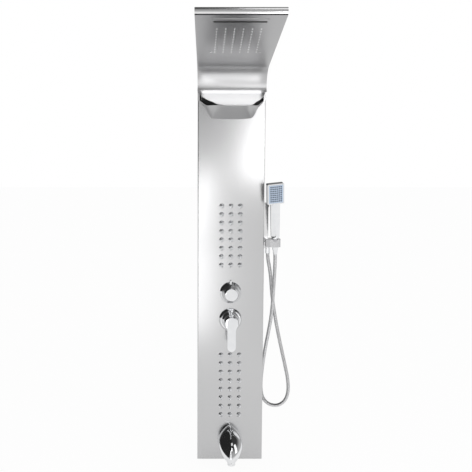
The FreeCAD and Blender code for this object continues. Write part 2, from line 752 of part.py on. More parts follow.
# ================================================================ mixer
def make_mixer():
    z = mixer_z
    body_front = front_y + valve_front
    body_back = body_front + valve_depth
    cart = mixer_cartridge_radius
    body = cylinder_y(0, z, body_front, body_back, mixer_body_radius)
    neck = cylinder_y(0, z, front_y - 7.0, body_front + 1, neck_radius)
    bore = cylinder_y(0, z, front_y - 8, body_back - 5, cart + slip)
    keep("mixer_body", body.fuse(neck).cut(bore))
    ball_reach = lever_reach - 32.0
    turret_floor = ball_reach - 14.0
    keep("mixer_cartridge", cylinder_y(0, z, body_back - 5 - slip, front_y - turret_floor + slip, cart))
    nut = hexagon(vec(0, front_y, z), vec(0, -1, 0), nut_across(neck_radius), 5.0)
    keep("mixer_nut", nut.cut(cylinder_y(0, z, front_y + 5, front_y - 9, neck_radius + 0.1)))
    rf = mixer_flange_radius
    h = mixer_flange_height
    cavity = nut_cavity(neck_radius)
    flange = revolve_y(0, z, [(cavity, 0), (rf, 0), (rf, 1.8), (rf - 2.4, 5.2),
                              (rf - 5.5, h - 0.6), (rf - 7.5, h), (neck_radius + 1.0, h),
                              (neck_radius + 1.0, h - 2), (cavity, h - 3)])
    keep("mixer_flange", flange)
    base = h + slip
    ball = Part.makeSphere(lever_ball_radius, at_reach(0, ball_reach, z))
    turret = revolve_y(0, z, [(0, base), (29.0, base), (29.6, base + 2), (28.6, base + 6),
                              (lever_ball_radius - 1.0, turret_floor + 4), (0, turret_floor + 4)])
    turret = turret.fuse(ball)
    cavity = cylinder_y(0, z, front_y - base + 1, front_y - turret_floor, cart + slip)
    pin_hole = cylinder_x(-40, 40, front_y - ball_reach, z, lever_pin_radius + pin_running)
    keep("mixer_turret", turret.cut([cavity, pin_hole]))
    cup_clear = lever_ball_radius + 0.4
    head = revolve_y(0, z, [(0, ball_reach + 2), (25.0, ball_reach + 2), (26.2, ball_reach + 5),
                            (25.6, ball_reach + 14), (23.2, lever_reach - 6),
                            (lever_face_radius + 0.6, lever_reach - 1),
                            (lever_face_radius, lever_reach), (0, lever_reach)])
    half = lever_width / 2
    lever_face = lever_reach
    tip_z = lever_bottom + half
    blade_back = lever_reach - 9.0
    blade = box(-half, half, front_y - lever_face, front_y - blade_back, tip_z, z)
    blade_end = cylinder_y(0, tip_z, front_y - lever_face, front_y - blade_back, half)
    rib_end = z - rib_reach_down + rib_half
    rib = box(-rib_half, rib_half, front_y - blade_back - 0.5, front_y - blade_back + 14.0, rib_end, z)
    rib = rib.fuse(cylinder_y(0, rib_end, front_y - blade_back - 0.5, front_y - blade_back + 14.0, rib_half))
    bevel = box(-20, 20, -30, 30, -60, 60)
    bevel.Placement = Placement(at_reach(0, blade_back - 46.0, z - 62.0), Rotation(vec(1, 0, 0), 38))
    rib = rib.cut(bevel)
    lever = head.fuse([blade, blade_end, rib]).removeSplitter()
    socket = Part.makeSphere(cup_clear, at_reach(0, ball_reach, z))
    mouth = Part.makeCone(cup_clear, cup_clear + 1.2, 12, at_reach(0, ball_reach + 2.5, z), vec(0, 1, 0))
    pin_bore = cylinder_x(-24.0, 24.0, front_y - ball_reach, z, lever_pin_radius)
    keep("mixer_lever", lever.cut([socket, mouth, pin_bore]))
    keep("lever_pin", cylinder_x(-24.0, 24.0, front_y - ball_reach, z, lever_pin_radius))


# ================================================================ spout
def spout_ring(share):
    """One closed ring of points, in a plane that fans out from the spout's heel.

    The planes turn about a level line at the heel, from the panel's face
    (share 0) down to the outlet (share 1). Low and high are distances from
    the heel, and the power runs from pointed at the root to round.
    """
    turn = math.radians(90 * share)
    low = (spout_reach - spout_mouth_radius) * share ** 1.9
    high = (spout_top - spout_bottom) * (1 - share) + (spout_reach + spout_mouth_radius) * share
    widest = (spout_z - 3.0 - spout_bottom) * (1 - share) + spout_reach * share
    half_width = spout_half_width + (spout_mouth_radius - spout_half_width) * share ** 5.2
    power = 1.5 + 0.5 * share
    points = []
    for i in range(spout_ring_points + 1):
        angle = math.pi + 2 * math.pi * (i % spout_ring_points) / spout_ring_points
        across = math.copysign(abs(math.sin(angle)) ** (2 / power), math.sin(angle))
        along = math.copysign(abs(math.cos(angle)) ** (2 / power), math.cos(angle))
        distance = widest + along * ((high - widest) if along > 0 else (widest - low))
        points.append(at_reach(half_width * across, distance * math.sin(turn),
                               spout_bottom + distance * math.cos(turn)))
    return points


def make_spout():
    surface = Part.BSplineSurface()
    surface.interpolate([spout_ring(i / spout_sections) for i in range(spout_sections + 1)])
    skin = surface.toShape()
    ends = [Part.Face(Part.Wire([e])) for e in skin.Edges if e.isClosed()]
    closed = Part.makeCompound([skin] + ends)
    closed.sewShape()
    body = Part.Solid(closed.Shells[0])
    shank = cylinder_y(0, spout_z, front_y - 10, front_y + 20, shank_radius)
    waterway = cylinder_y(0, spout_z, front_y - 30, front_y + 21, 5.0)
    outlet = cylinder_z(0, front_y - spout_reach, spout_bottom - 1, spout_bottom + 12, 8.0)
    keep("spout_body", body.fuse(shank).cut([waterway, outlet]))
    aerator_low = spout_bottom - aerator_length
    ring = cylinder_z(0, front_y - spout_reach, aerator_low, spout_bottom, aerator_radius)
    ring = ring.makeChamfer(1.5, [e for e in ring.Edges if abs(e.Vertexes[0].Z - aerator_low) < 1e-6
                                  and len(e.Vertexes) == 1])
    bore = cylinder_z(0, front_y - spout_reach, aerator_low - 1, aerator_low + 3, aerator_radius - 2.5)
    keep("spout_aerator", ring.cut(bore))
    nut = hexagon(vec(0, front_y + sheet, spout_z), vec(0, 1, 0), 30.0, 8.0)
    keep("spout_nut", nut.cut(cylinder_y(0, spout_z, front_y - 5, front_y + 20, shank_radius + 0.1)))


# ================================================================ wall fixing
def make_wall_fixing(name, centre_z):
    half = bracket_half_width
    t = bracket_sheet
    low = centre_z - bracket_height / 2
    high = centre_z + bracket_height / 2
    web = box(-half, half, -t, 0, low, high)
    ledge = box(-half, half, -12.0, 0, high - t, high)
    hook = box(-half, half, -12.0, -12.0 + t, high - t, high + 10.0)
    bracket = web.fuse([ledge, hook]).removeSplitter()
    for x in (-hole_spacing_x / 2, hole_spacing_x / 2):
        bracket = bracket.cut(cylinder_y(x, centre_z, -8, 3, fixing_hole_radius))
    keep(name + "_wall_bracket", bracket)
    rail_y1 = -5.0
    rail_y0 = rail_y1 - rail_thickness
    z0 = high + slip
    z1 = high + 26.0
    half_rail = return_half((rail_y0 + rail_y1) / 2) - sheet - 0.8
    rail = box(-half_rail, half_rail, rail_y0, rail_y1, z0, z1)
    tab = box(-half_rail - 0.4, -half_rail + 2.0, rail_y0 - 16, rail_y1, z0, z1)
    inside = prism_z(column_outline(sheet), z0 - 1, z1 + 1)
    rail = rail.fuse([tab, mirror_x(tab)]).common(inside).removeSplitter()
    keep(name + "_hang_rail", rail)


# ================================================================ pipes
def curl_lane(angle, gap):
    """Place of a pipe's axis that follows the curl inside the head."""
    centre = curl_centre(curl_radius)
    radius = curl_radius + sheet + gap
    reach = centre[0] + radius * math.cos(math.radians(angle))
    return front_y - reach, centre[1] + radius * math.sin(math.radians(angle))


def make_pipes(chamber_half, chamber_end):
    upper_low = min(z for _, z in upper_jets) - manifold_margin
    lower_high = max(z for _, z in lower_jets) + manifold_margin
    row = pipe_row_y
    dz = diverter_z
    r_body = diverter_body_radius
    diverter = parts["diverter_body"]
    keep("supply_pipe", straight_pipe((0, row, mixer_z + mixer_body_radius), (0, row, dz - r_body)))
    keep("upper_jet_pipe", straight_pipe((0, row, dz + r_body), (0, row, upper_low)))
    high_z = dz + 7
    low_z = dz - 9
    side_high = math.sqrt(r_body ** 2 - 49)
    side_low = math.sqrt(r_body ** 2 - 81)
    mid_up = sheet + water_box_height / 2
    end_mid = head_frame(0, chamber_end, mid_up)
    entry = head_frame(0, chamber_end + 26, mid_up)
    inlet_x_head = -chamber_half + 20
    curl = [curl_lane(172, 9.0), curl_lane(142, 11.0), curl_lane(114, 7.5)]
    keep("rain_pipe", pipe([
        (-side_high, row, high_z), (-62, row, high_z), (-62, row, 560), (-62, *curl[0]),
        (-59, *curl[1]), (-55, *curl[2]), (inlet_x_head, entry.y, entry.z),
        (inlet_x_head, end_mid.y, end_mid.z)]).cut(diverter))
    box_side = rim_length / 2 + 2
    lane = 94.0
    lane_turn = head_frame(0, slot_offset, mid_up)
    lane_start = head_frame(0, chamber_end + 20, mid_up)
    keep("waterfall_pipe", pipe([
        (side_high, row, high_z), (62, row, high_z), (62, row, 560), (64, *curl[0]), (70, *curl[1]),
        (80, *curl[2]), (lane, lane_start.y, lane_start.z), (lane, lane_turn.y, lane_turn.z),
        (box_side, lane_turn.y, lane_turn.z)]).cut(diverter))
    union_y = -(plate_front + plate_back) / 2
    union_start = return_half(union_y) - sheet - 2.0
    feed_x = side_x - 24.0
    jet_feed_x = -(side_x - 26.0)
    feed = pipe([
        (side_low, row - 2, low_z), (feed_x, row - 2, low_z), (feed_x, union_y, holder_z),
        (union_start, union_y, holder_z)])
    union = cylinder_x(union_start, union_end, union_y, holder_z, union_radius)
    union_way = cylinder_x(union_start - 1, union_end + 1, union_y, holder_z, union_bore)
    keep("handset_pipe", [feed.cut(diverter), union.cut(union_way)])
    keep("lower_jet_pipe", pipe([
        (-side_low, row - 6, low_z), (jet_feed_x, row - 6, low_z), (jet_feed_x, row - 6, lower_high - 18),
        (-manifold_half_width, row - 6, lower_high - 18)]).cut(diverter))
    back = front_y + valve_front + valve_depth
    keep("spout_pipe", pipe([
        (0, back, dz - 4), (0, back + 10, dz - 4), (0, back + 10, spout_z),
        (0, front_y + 20, spout_z)], 4.0, 2.8))
    for name, side in (("hot", -1), ("cold", 1)):
        x = side * inlet_x
        start = side * mixer_body_radius
        hose_end = -2.0 - inlet_length - 2.0
        hose = pipe([(start, row - 3, mixer_z), (x, row - 3, mixer_z), (x, row - 3, inlet_z),
                     (x, hose_end, inlet_z)], 5.5, 3.5)
        keep(name + "_inlet_hose", hose)
        nut = hexagon(vec(x, hose_end, inlet_z), vec(0, 1, 0), 24.0, inlet_length + 2.0)
        thread = cylinder_y(x, inlet_z, hose_end + 2.0, 1, inlet_thread_radius)
        way = cylinder_y(x, inlet_z, hose_end - 1, hose_end + 5, 3.5)
        keep(name + "_inlet_nut", nut.cut([thread, way]))


# ================================================================ handset and its holder
hand_rotation = Rotation(vec(0, 1, 0), -handset_lean).multiply(
    Rotation(vec(1, 0, 0), handset_tilt)).multiply(Rotation(vec(0, 0, 1), handset_turn))
hand_placement = Placement(vec(holder_x, holder_y, holder_z), hand_rotation)


def in_hand(shape):
    """Place a shape modelled upright, with its grip cone at the origin."""
    shape.Placement = hand_placement.multiply(shape.Placement)
    return shape


def make_side_plate():
    column = prism_z(column_outline(0.0), plate_bottom - 5, plate_top + 5)
    plate = box(side_x - 10, plate_right, -plate_front, -plate_back, plate_bottom, plate_top).cut(column)
    union_y = -(plate_front + plate_back) / 2
    hole = cylinder_x(side_x - 10, union_end, union_y, holder_z, union_radius + 0.1)
    keep("side_plate", plate.cut(hole))
    screws = []
    for z in (plate_bottom + 9, plate_top - 12):
        head = cylinder_x(plate_right, plate_right + 2.2, union_y, z, 3.6)
        screws.append(head)
    keep("plate_screws", screws)


def make_holder():
    z0 = holder_z - holder_height / 2
    z1 = holder_z + holder_height / 2
    outline = [(holder_left, -plate_front), (holder_left, -86.0), (side_x + 14.0, -102.0),
               (holder_right - 8.0, -104.0), (holder_right, -96.0), (holder_right, -78.0),
               (holder_right - 8.0, -66.0), (side_x + 22.0, -plate_front)]
    block = prism_z(outline, z0, z1)
    block = block.makeFillet(3.0, [e for e in block.Edges if abs(e.Vertexes[0].Z - e.Vertexes[1].Z) > 1
                                   and e.Vertexes[0].Y < -60])
    block = block.makeFillet(1.0, [e for e in block.Edges if abs(e.Vertexes[0].Z - e.Vertexes[1].Z) < 1e-6
                                   and max(v.Y for v in e.Vertexes) < -60])
    cone_way = in_hand(Part.makeCone(grip_cone_bottom + 2.4, grip_cone_top + 2.9, 60, vec(0, 0, -30)))
    way = cylinder_z(outlet_x, outlet_y, z0 - 1, z0 + 12, 4.0)
    keep("handset_holder", block.cut([cone_way, way]))
    liner_low = -15.5
    liner_high = 15.0
    liner = in_hand(cone_band(2.2, liner_low, liner_high).cut(
        cone_band(slip, liner_low - 1, liner_high + 1)))
    slab = box(side_x - 30, side_x + 90, -160, 0, z0, z1)
    keep("holder_liner", liner.common(slab))
    ferrule = cylinder_z(outlet_x, outlet_y, z0 - 8, z0, 7.0)
    keep("outlet_ferrule", ferrule.cut(cylinder_z(outlet_x, outlet_y, z0 - 9, z0 + 1, 4.0)))
    top = z0 - 8
    bottom = hose_route[0][2]
    nut = cylinder_z(outlet_x, outlet_y, bottom, top, 8.2)
    nut = nut.cut(cylinder_z(outlet_x, outlet_y, bottom + 4, top + 1, 3.5))
    keep("outlet_nut", nut.makeFillet(1.2, [e for e in nut.Edges if abs(e.Vertexes[0].Z - bottom) < 1e-6
                                            and len(e.Vertexes) == 1]))


def cone_radius(height):
    """Radius of the handset's grip cone at a height on its own axis."""
    share = (height + grip_cone_length / 2) / grip_cone_length
    return grip_cone_bottom + (grip_cone_top - grip_cone_bottom) * share


def cone_band(grow, low, high):
    return Part.makeCone(cone_radius(low) + grow, cone_radius(high) + grow, high - low, vec(0, 0, low))


def make_handset():
    half_cone = grip_cone_length / 2
    cone = Part.makeCone(grip_cone_bottom, grip_cone_top, grip_cone_length, vec(0, 0, -half_cone))
    start = half_cone
    end = handset_head_start
    w = handle_width / 2
    d = handle_depth / 2
    low = [(-12.0, 9.0), (-12.0, 3.0), (0.5, -9.0), (12.0, -9.0), (12.0, 9.0)]
    middle = [(-w + 1, d), (-w + 1, 1.0), (-2.0, -d), (w - 1, -d), (w - 1, d)]
    high = [(-w, d), (-w, -d + 3.5), (-w + 3.5, -d), (w, -d), (w, d)]

    def ring(corners, z):
        return Part.makePolygon([vec(x, y, z) for x, y in corners] + [vec(corners[0][0], corners[0][1], z)])

    handle = Part.makeLoft([ring(low, start - 3), ring(middle, start + 40), ring(high, end + 4)], True, True)
    handle = handle.makeFillet(0.8, [e for e in handle.Edges if abs(e.Vertexes[0].Z - e.Vertexes[1].Z) > 5])
    hw = handset_head_width / 2
    depth = handset_head_depth
    head = box(-hw, hw, -depth / 2 - 2, depth / 2 - 2, end, end + handset_head_height)
    head = head.makeFillet(3.0, [e for e in head.Edges if abs(e.Vertexes[0].Y - e.Vertexes[1].Y) > 1])
    head = head.makeFillet(1.5, [e for e in head.Edges if min(v.Y for v in e.Vertexes) > 0])
    face_y = -depth / 2 - 2
    recess = box(-hw + 3.5, hw - 3.5, face_y - 1, face_y + 2.5, end + 3.5, end + handset_head_height - 3.5)
    waterway = Part.makeCylinder(4.0, 40, vec(0, 0, -half_cone - 1))
    shell = cone.fuse([handle, head]).removeSplitter().cut([recess, waterway])
    keep("handset_shell", in_hand(shell))
    plate = box(-hw + 3.8, hw - 3.8, face_y - 0.4, face_y + 2.5, end + 3.8, end + handset_head_height - 3.8)
    centre_z = end + handset_head_height / 2
    holes = []
    nozzles = []
    for row in range(face_rows):
        for column in range(face_columns):
            x = (column - (face_columns - 1) / 2) * face_pitch
            z = centre_z + (row - (face_rows - 1) / 2) * face_pitch
            holes.append(Part.makeCylinder(1.7, 5, vec(x, face_y - 1.5, z), vec(0, 1, 0)))
            nozzles.append(Part.makeCylinder(1.6, 3.2, vec(x, face_y - 1.2, z), vec(0, 1, 0)))
    keep("handset_face", in_hand(plate.cut(holes)))
    keep("handset_nozzles", [in_hand(n) for n in nozzles])
    nut_top = -half_cone
    nut = Part.makeCone(7.0, 8.6, hose_nut_length, vec(0, 0, nut_top - hose_nut_length))
    nut = nut.cut(Part.makeCylinder(3.5, 20, vec(0, 0, nut_top - hose_nut_length + 4)))
    keep("hose_cone_nut", in_hand(nut))
    return hand_placement.multVec(vec(0, 0, nut_top - hose_nut_length - hose_end_gap))


def make_hose(handset_end):
    route = list(hose_route)
    route[0] = (outlet_x, outlet_y, hose_route[0][2])
    route[-1] = (handset_end.x, handset_end.y, handset_end.z)
    tube, length, radii = solid_tube(route, hose_diameter / 2)
    print("hose: length %.0f mm, smallest arc %.0f mm" % (length, min(radii)))
    print("hose: volume is %.4f of its section times its length"
          % (tube.Volume / (math.pi * hose_diameter ** 2 / 4 * length)))
    print("hose: arc radii", " ".join("%.0f" % r for r in radii))
    keep("shower_hose", tube)


# ================================================================ build
keep("front_panel", make_front_panel())
keep("mouth_scoop", make_mouth_scoop())
keep("bottom_cap", make_bottom_cap())
keep("head_sheet", make_head_sheet())
keep("head_shell", make_head_shell())
keep("lip_trim", make_lip_trim())
make_waterfall()
chamber_half, chamber_end = make_rain()
make_jets("upper", upper_jets)
make_jets("lower", lower_jets)
make_diverter()
make_mixer()
make_spout()
make_wall_fixing("upper", hole_spacing_z / 2)
make_wall_fixing("lower", -hole_spacing_z / 2)
make_pipes(chamber_half, chamber_end)
make_side_plate()
make_holder()
hose_end = make_handset()
make_hose(hose_end)

os.makedirs("parts", exist_ok=True)
for name, shape in parts.items():
    solids = shape.Solids
    valid = shape.isValid() and all(s.isClosed() for s in solids)
    note = "" if valid else "NOT VALID"
    print("%-20s solids %3d  volume %10.0f  %s" % (name, len(solids), shape.Volume, note))
    shape.exportStep("parts/%s.step" % name)
print(len(parts), "nodes")
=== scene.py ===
# %% [markdown]
# # A shower panel column
#
# The real object is a tall folded column of satin stainless steel that hangs
# on a bathroom wall. Its head leans forward over the bather and holds a rain
# field and a waterfall slot. Body jets, a diverter knob, a mixer lever and a
# tub spout sit on the front, and a hand shower hangs at the right on a metal
# hose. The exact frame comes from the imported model. This script adds what a
# frame lacks: rounded edges, ribs, nozzles, metal finishes, light and camera.

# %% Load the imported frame
import json
import math

import bmesh
import bpy
from mathutils import Matrix, Vector


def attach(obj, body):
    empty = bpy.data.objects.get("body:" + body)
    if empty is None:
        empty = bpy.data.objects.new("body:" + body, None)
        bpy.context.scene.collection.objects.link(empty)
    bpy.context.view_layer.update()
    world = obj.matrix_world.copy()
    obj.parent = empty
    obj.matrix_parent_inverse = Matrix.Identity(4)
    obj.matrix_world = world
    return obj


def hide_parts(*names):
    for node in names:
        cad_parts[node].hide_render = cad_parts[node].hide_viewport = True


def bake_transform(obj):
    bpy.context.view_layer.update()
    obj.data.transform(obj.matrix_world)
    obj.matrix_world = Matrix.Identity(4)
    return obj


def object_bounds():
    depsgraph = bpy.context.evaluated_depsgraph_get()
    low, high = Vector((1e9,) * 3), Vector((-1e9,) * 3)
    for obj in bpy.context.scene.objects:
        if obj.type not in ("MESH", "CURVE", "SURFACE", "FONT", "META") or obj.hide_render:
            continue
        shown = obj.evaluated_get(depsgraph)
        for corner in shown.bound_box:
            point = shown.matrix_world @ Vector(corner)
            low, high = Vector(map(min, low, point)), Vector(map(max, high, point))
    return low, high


mm = 0.001
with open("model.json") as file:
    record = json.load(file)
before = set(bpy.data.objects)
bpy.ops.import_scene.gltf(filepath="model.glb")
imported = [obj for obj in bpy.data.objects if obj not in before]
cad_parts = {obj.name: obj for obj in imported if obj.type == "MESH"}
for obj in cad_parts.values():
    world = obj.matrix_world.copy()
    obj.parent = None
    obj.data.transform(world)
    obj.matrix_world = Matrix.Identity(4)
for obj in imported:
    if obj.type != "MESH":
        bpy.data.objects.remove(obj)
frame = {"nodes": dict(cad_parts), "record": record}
nodes = frame["nodes"]
cad_box = [list(corner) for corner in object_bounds()]

# %% [markdown]
# ## Camera
#
# The picture was taken with a long lens from a little over two metres away,
# level with the column's upper half and tilted down by less than six degrees.
# The camera stands slightly to the left of the column and isn't turned
# towards it: a sideways shift of the lens brings the column near the middle
# of the picture.

# %% Camera
focal_pixels = 650.0
picture_pixels = 472.0
axis_pixel = 188.0
sensor_mm = 36.0
tilt_down = math.radians(5.63)
camera_place = (-0.141, -2.184, 0.350)

camera_data = bpy.data.cameras.new("camera")
camera_data.sensor_width = sensor_mm
camera_data.lens = focal_pixels / picture_pixels * sensor_mm
camera_data.shift_x = (picture_pixels / 2 - axis_pixel) / picture_pixels
camera_data.clip_end = 50.0
camera = bpy.data.objects.new("camera", camera_data)
camera.location = camera_place
camera.rotation_euler = (math.pi / 2 - tilt_down, 0.0, 0.0)
bpy.context.scene.collection.objects.link(camera)
bpy.context.scene.camera = camera
print("lens %.1f mm, shift %.3f" % (camera_data.lens, camera_data.shift_x))

# %% [markdown]
# ## Writing materials as sums
#
# A finish is a small calculation: some noise, stretched and scaled, nudges a
# colour or a roughness. Wiring that by hand is slow to read, so one class
# stands for a value that travels through the nodes, and plain arithmetic on
# it adds the Math nodes.

# %% A value in a node tree
class Wire:
    """A socket of a node tree. Arithmetic on it adds Math nodes."""

    def __init__(self, recipe, socket):
        self.recipe = recipe
        self.socket = socket

    def sum(self, operation, *others):
        values = {place: value for place, value in enumerate((self, *others))}
        return self.recipe.node("ShaderNodeMath", {"operation": operation}, values)

    def __add__(self, other):
        return self.sum("ADD", other)

    def __sub__(self, other):
        return self.sum("SUBTRACT", other)

    def __mul__(self, other):
        return self.sum("MULTIPLY", other)

    def __pow__(self, other):
        return self.sum("POWER", other)

    def __rsub__(self, other):
        return self * -1.0 + other

    __radd__ = __add__
    __rmul__ = __mul__

    def between(self, low, high):
        """0 below low, 1 above high, and smooth in between."""
        settings = {"interpolation_type": "SMOOTHSTEP"}
        values = {"Value": self, "From Min": low, "From Max": high}
        return self.recipe.node("ShaderNodeMapRange", settings, values)


class Recipe:
    """A tree of nodes for a material, the world or a shape, and how to add to it."""

    def __init__(self, tree):
        self.tree = tree
        tree.nodes.clear()

    def node(self, kind, settings=None, values=None, output=0):
        made = self.tree.nodes.new(kind)
        for name, setting in (settings or {}).items():
            setattr(made, name, setting)
        for name, value in (values or {}).items():
            if isinstance(value, Wire):
                self.tree.links.new(value.socket, made.inputs[name])
            else:
                made.inputs[name].default_value = value
        return Wire(self, made.outputs[output]) if made.outputs else made

    def place(self, stretch=(1.0, 1.0, 1.0)):
        """Object coordinates, stretched so that a pattern gets a grain."""
        start = self.node("ShaderNodeTexCoord", output=3)
        return self.node("ShaderNodeMapping", None, {"Vector": start, "Scale": stretch})

    def noise(self, size, stretch=(1.0, 1.0, 1.0), detail=3.0):
        """Cloudy noise whose lumps are about size metres across."""
        values = {"Vector": self.place(stretch), "Scale": 1.0 / size, "Detail": detail}
        return self.node("ShaderNodeTexNoise", None, values)

    def blend(self, mask, first, second):
        """A colour between two others."""
        settings = {"data_type": "RGBA"}
        return self.node("ShaderNodeMix", settings, {0: mask, 6: first, 7: second}, output=2)

    def bump(self, height, depth):
        """A normal tilted by height, where 1 stands depth metres high."""
        values = {"Height": height, "Distance": depth, "Strength": 1.0}
        return self.node("ShaderNodeBump", None, values)

    def rays(self):
        """Two values: 1 for the camera's own rays, and 1 for mirrored rays."""
        return [self.node("ShaderNodeLightPath", output=ray) for ray in (0, 3)]


def rgb(red, green, blue):
    return (red, green, blue, 1.0)


def finish_material(name, build):
    """A material whose surface values come from the function build."""
    material = bpy.data.materials.new(name)
    material.use_nodes = True
    recipe = Recipe(material.node_tree)
    surface = recipe.node("ShaderNodeBsdfPrincipled", None, build(recipe))
    recipe.node("ShaderNodeOutputMaterial", None, {"Surface": surface})
    return material


# %% [markdown]
# ## Steel finishes
#
# The column is stainless steel with a fine upright grain. Satin steel looks
# the way it does because tiny scratches all run one way: the reflection of a
# lamp smears out sideways into a soft glow. Noise stretched along the
# column's length gives those scratches, both as roughness and as a very
# shallow bump, and a slow cloud of noise keeps the big face from looking
# machine-made.

# %% Satin steel and bright steel
upright_grain = (1.0, 1.0, 0.012)
no_grain = (1.0, 1.0, 1.0)
scratch_width = 0.0009
cloud_size = 0.22


def steel(tone, roughness, grain_depth, grain=upright_grain, spread=0.05):
    """Steel whose scratches vary its roughness by spread."""
    def build(recipe):
        scratches = recipe.noise(scratch_width, grain, 4.0)
        cloud = recipe.noise(cloud_size)
        dark = rgb(*(value * 0.95 for value in tone))
        return {
            "Base Color": recipe.blend(scratches * 0.6 + cloud * 0.4, dark, rgb(*tone)),
            "Metallic": 1.0,
            "Roughness": roughness + (scratches - 0.5) * spread + (cloud - 0.5) * 0.04,
            "Normal": recipe.bump(scratches, grain_depth),
        }
    return build


panel_steel = finish_material(
    "panel_steel", steel((0.62, 0.62, 0.625), 0.21, 0.000005, spread=0.03))
# A darker copy of the panel steel: painted shade on the head's underside, the scoop and the
# waterfall rim.
painted_shade_steel = finish_material(
    "painted_shade_steel", steel((0.52, 0.52, 0.525), 0.30, 0.000005, spread=0.03))
satin_chrome = finish_material(
    "satin_chrome", steel((0.60, 0.60, 0.61), 0.16, 0.000004, no_grain))
bright_trim = finish_material("bright_trim", steel((0.86, 0.86, 0.865), 0.16, 0.00001))
screw_steel = finish_material("screw_steel", steel((0.70, 0.70, 0.70), 0.24, 0.00002, no_grain))

# %% [markdown]
# ## Chrome, zinc and brass
#
# Chrome plate is nearly a mirror, so what it shows is the room. Its own
# detail is slight: a breath of haze where hands and water have been. The
# brackets behind the column are zinc plated, which crystallises in small
# spangles, and the valve bodies are brass that has dulled unevenly.

# %% Chrome, zinc and brass
def chrome_finish(recipe):
    haze = recipe.noise(0.018, detail=5.0)
    ripple = recipe.noise(0.006)
    return {
        "Base Color": recipe.blend(haze, rgb(0.80, 0.81, 0.83), rgb(0.90, 0.905, 0.91)),
        "Metallic": 1.0,
        "Roughness": 0.035 + haze.between(0.45, 0.8) * 0.05,
        "Normal": recipe.bump(ripple, 0.00001),
    }


def zinc_finish(recipe):
    spangle = recipe.node("ShaderNodeTexVoronoi", None, {"Vector": recipe.place(), "Scale": 260.0})
    dust = recipe.noise(0.01)
    pattern = spangle.between(0.1, 0.7)
    return {
        "Base Color": recipe.blend(pattern, rgb(0.50, 0.51, 0.52), rgb(0.68, 0.69, 0.70)),
        "Metallic": 1.0,
        "Roughness": 0.34 + spangle * 0.18 + dust * 0.08,
        "Normal": recipe.bump(spangle, 0.00002),
    }


def brass_finish(recipe):
    tarnish = recipe.noise(0.012, detail=5.0)
    grain = recipe.noise(0.0012)
    dulled = tarnish.between(0.35, 0.7)
    return {
        "Base Color": recipe.blend(dulled, rgb(0.78, 0.60, 0.30), rgb(0.50, 0.36, 0.19)),
        "Metallic": 1.0,
        "Roughness": 0.28 + tarnish * 0.2,
        "Normal": recipe.bump(grain, 0.00004),
    }


def hose_finish(recipe):
    wear = recipe.noise(0.02, detail=4.0)
    return {
        "Base Color": recipe.blend(wear, rgb(0.62, 0.62, 0.63), rgb(0.80, 0.80, 0.81)),
        "Metallic": 1.0,
        "Roughness": 0.16 + wear * 0.1,
        "Normal": recipe.bump(recipe.noise(0.001), 0.00001),
    }


chrome = finish_material("chrome", chrome_finish)
zinc = finish_material("zinc", zinc_finish)
brass = finish_material("brass", brass_finish)
hose_metal = finish_material("hose_metal", hose_finish)

# %% [markdown]
# ## Plastics and rubber
#
# The nozzles are soft moulded rubber, so that lime can be rubbed off with a
# thumb, and a near-black moulding is painted shade in the mouth, the waterfall
# slot and the gaps at the lip. The hand shower's face is a pale blue gloss
# moulding. The pipes and the jet manifolds behind the sheet are plain
# mouldings. All of them share one recipe: a colour with slight cloudiness, and
# the faint orange-peel texture that a mould leaves. The two inlet hoses have a
# woven steel braid instead.

# %% Plastics, rubber and braid
def moulding(tone, roughness, peel_size, peel_depth):
    """A moulded surface with a peel texture of that size and depth in metres."""
    def build(recipe):
        cloud = recipe.noise(0.015)
        peel = recipe.noise(peel_size)
        dark = rgb(*(value * 0.90 for value in tone))
        return {
            "Base Color": recipe.blend(cloud, dark, rgb(*tone)),
            "Roughness": roughness + (cloud - 0.5) * 0.1,
            "Normal": recipe.bump(peel, peel_depth),
        }
    return build


def braid_finish(recipe):
    """Two families of fine wires that cross each other."""
    strands = []
    for lean in (0.8, -0.8):
        values = {"Vector": recipe.place((1.0, 1.0, lean)), "Scale": 330.0}
        strands.append(recipe.node(
            "ShaderNodeTexWave", {"bands_direction": "DIAGONAL"}, values, output=1))
    weave = strands[0].sum("MAXIMUM", strands[1])
    return {
        "Base Color": recipe.blend(weave, rgb(0.22, 0.22, 0.23), rgb(0.72, 0.72, 0.73)),
        "Metallic": 1.0,
        "Roughness": 0.42 - weave * 0.14,
        "Normal": recipe.bump(weave, 0.0003),
    }


def moulded(name, *values):
    return finish_material(name, moulding(*values))


nozzle_rubber = moulded("nozzle_rubber", (0.95, 0.95, 0.95), 0.55, 0.0006, 0.00002)
face_plastic = moulded("face_plastic", (0.56, 0.66, 0.80), 0.20, 0.0030, 0.00001)
face_rubber = moulded("face_rubber", (0.030, 0.045, 0.085), 0.42, 0.0008, 0.00002)
# Near-black painted shade, for the strips in the mouth, in the waterfall slot and at the lip's
# edges.
painted_shade_black = moulded("painted_shade_black", (0.012, 0.012, 0.013), 0.60, 0.0008, 0.00002)
cartridge_plastic = moulded("cartridge_plastic", (0.66, 0.65, 0.61), 0.40, 0.0010, 0.00003)
manifold_plastic = moulded("manifold_plastic", (0.74, 0.74, 0.72), 0.46, 0.0012, 0.00004)
pipe_plastic = moulded("pipe_plastic", (0.66, 0.68, 0.71), 0.36, 0.0009, 0.00002)
liner_plastic = moulded("liner_plastic", (0.50, 0.50, 0.52), 0.30, 0.0010, 0.00002)
braid = finish_material("braid", braid_finish)

# %% [markdown]
# ## Studio
#
# The photograph has a clean white ground, and its metal mirrors a pale room
# with darkness to the upper left, which the chrome picks up as black patches.
# The world does most of this: it is white to the camera, and to reflections
# it is a pale room that darkens to the left and overhead. Three tall soft
# lamps face the column, each leaning a little, and give it its bright bands.
# Two wide ones, at the right and above, light the whole object. Two small
# ones near the mouth light the tongue from above and the curl from below.

# %% World
room_tone, darkest_tone = 0.80, 0.02
left_darkening, canopy_darkening, ceiling_darkening = 0.78, 0.40, 0.36
fill_light = 0.80


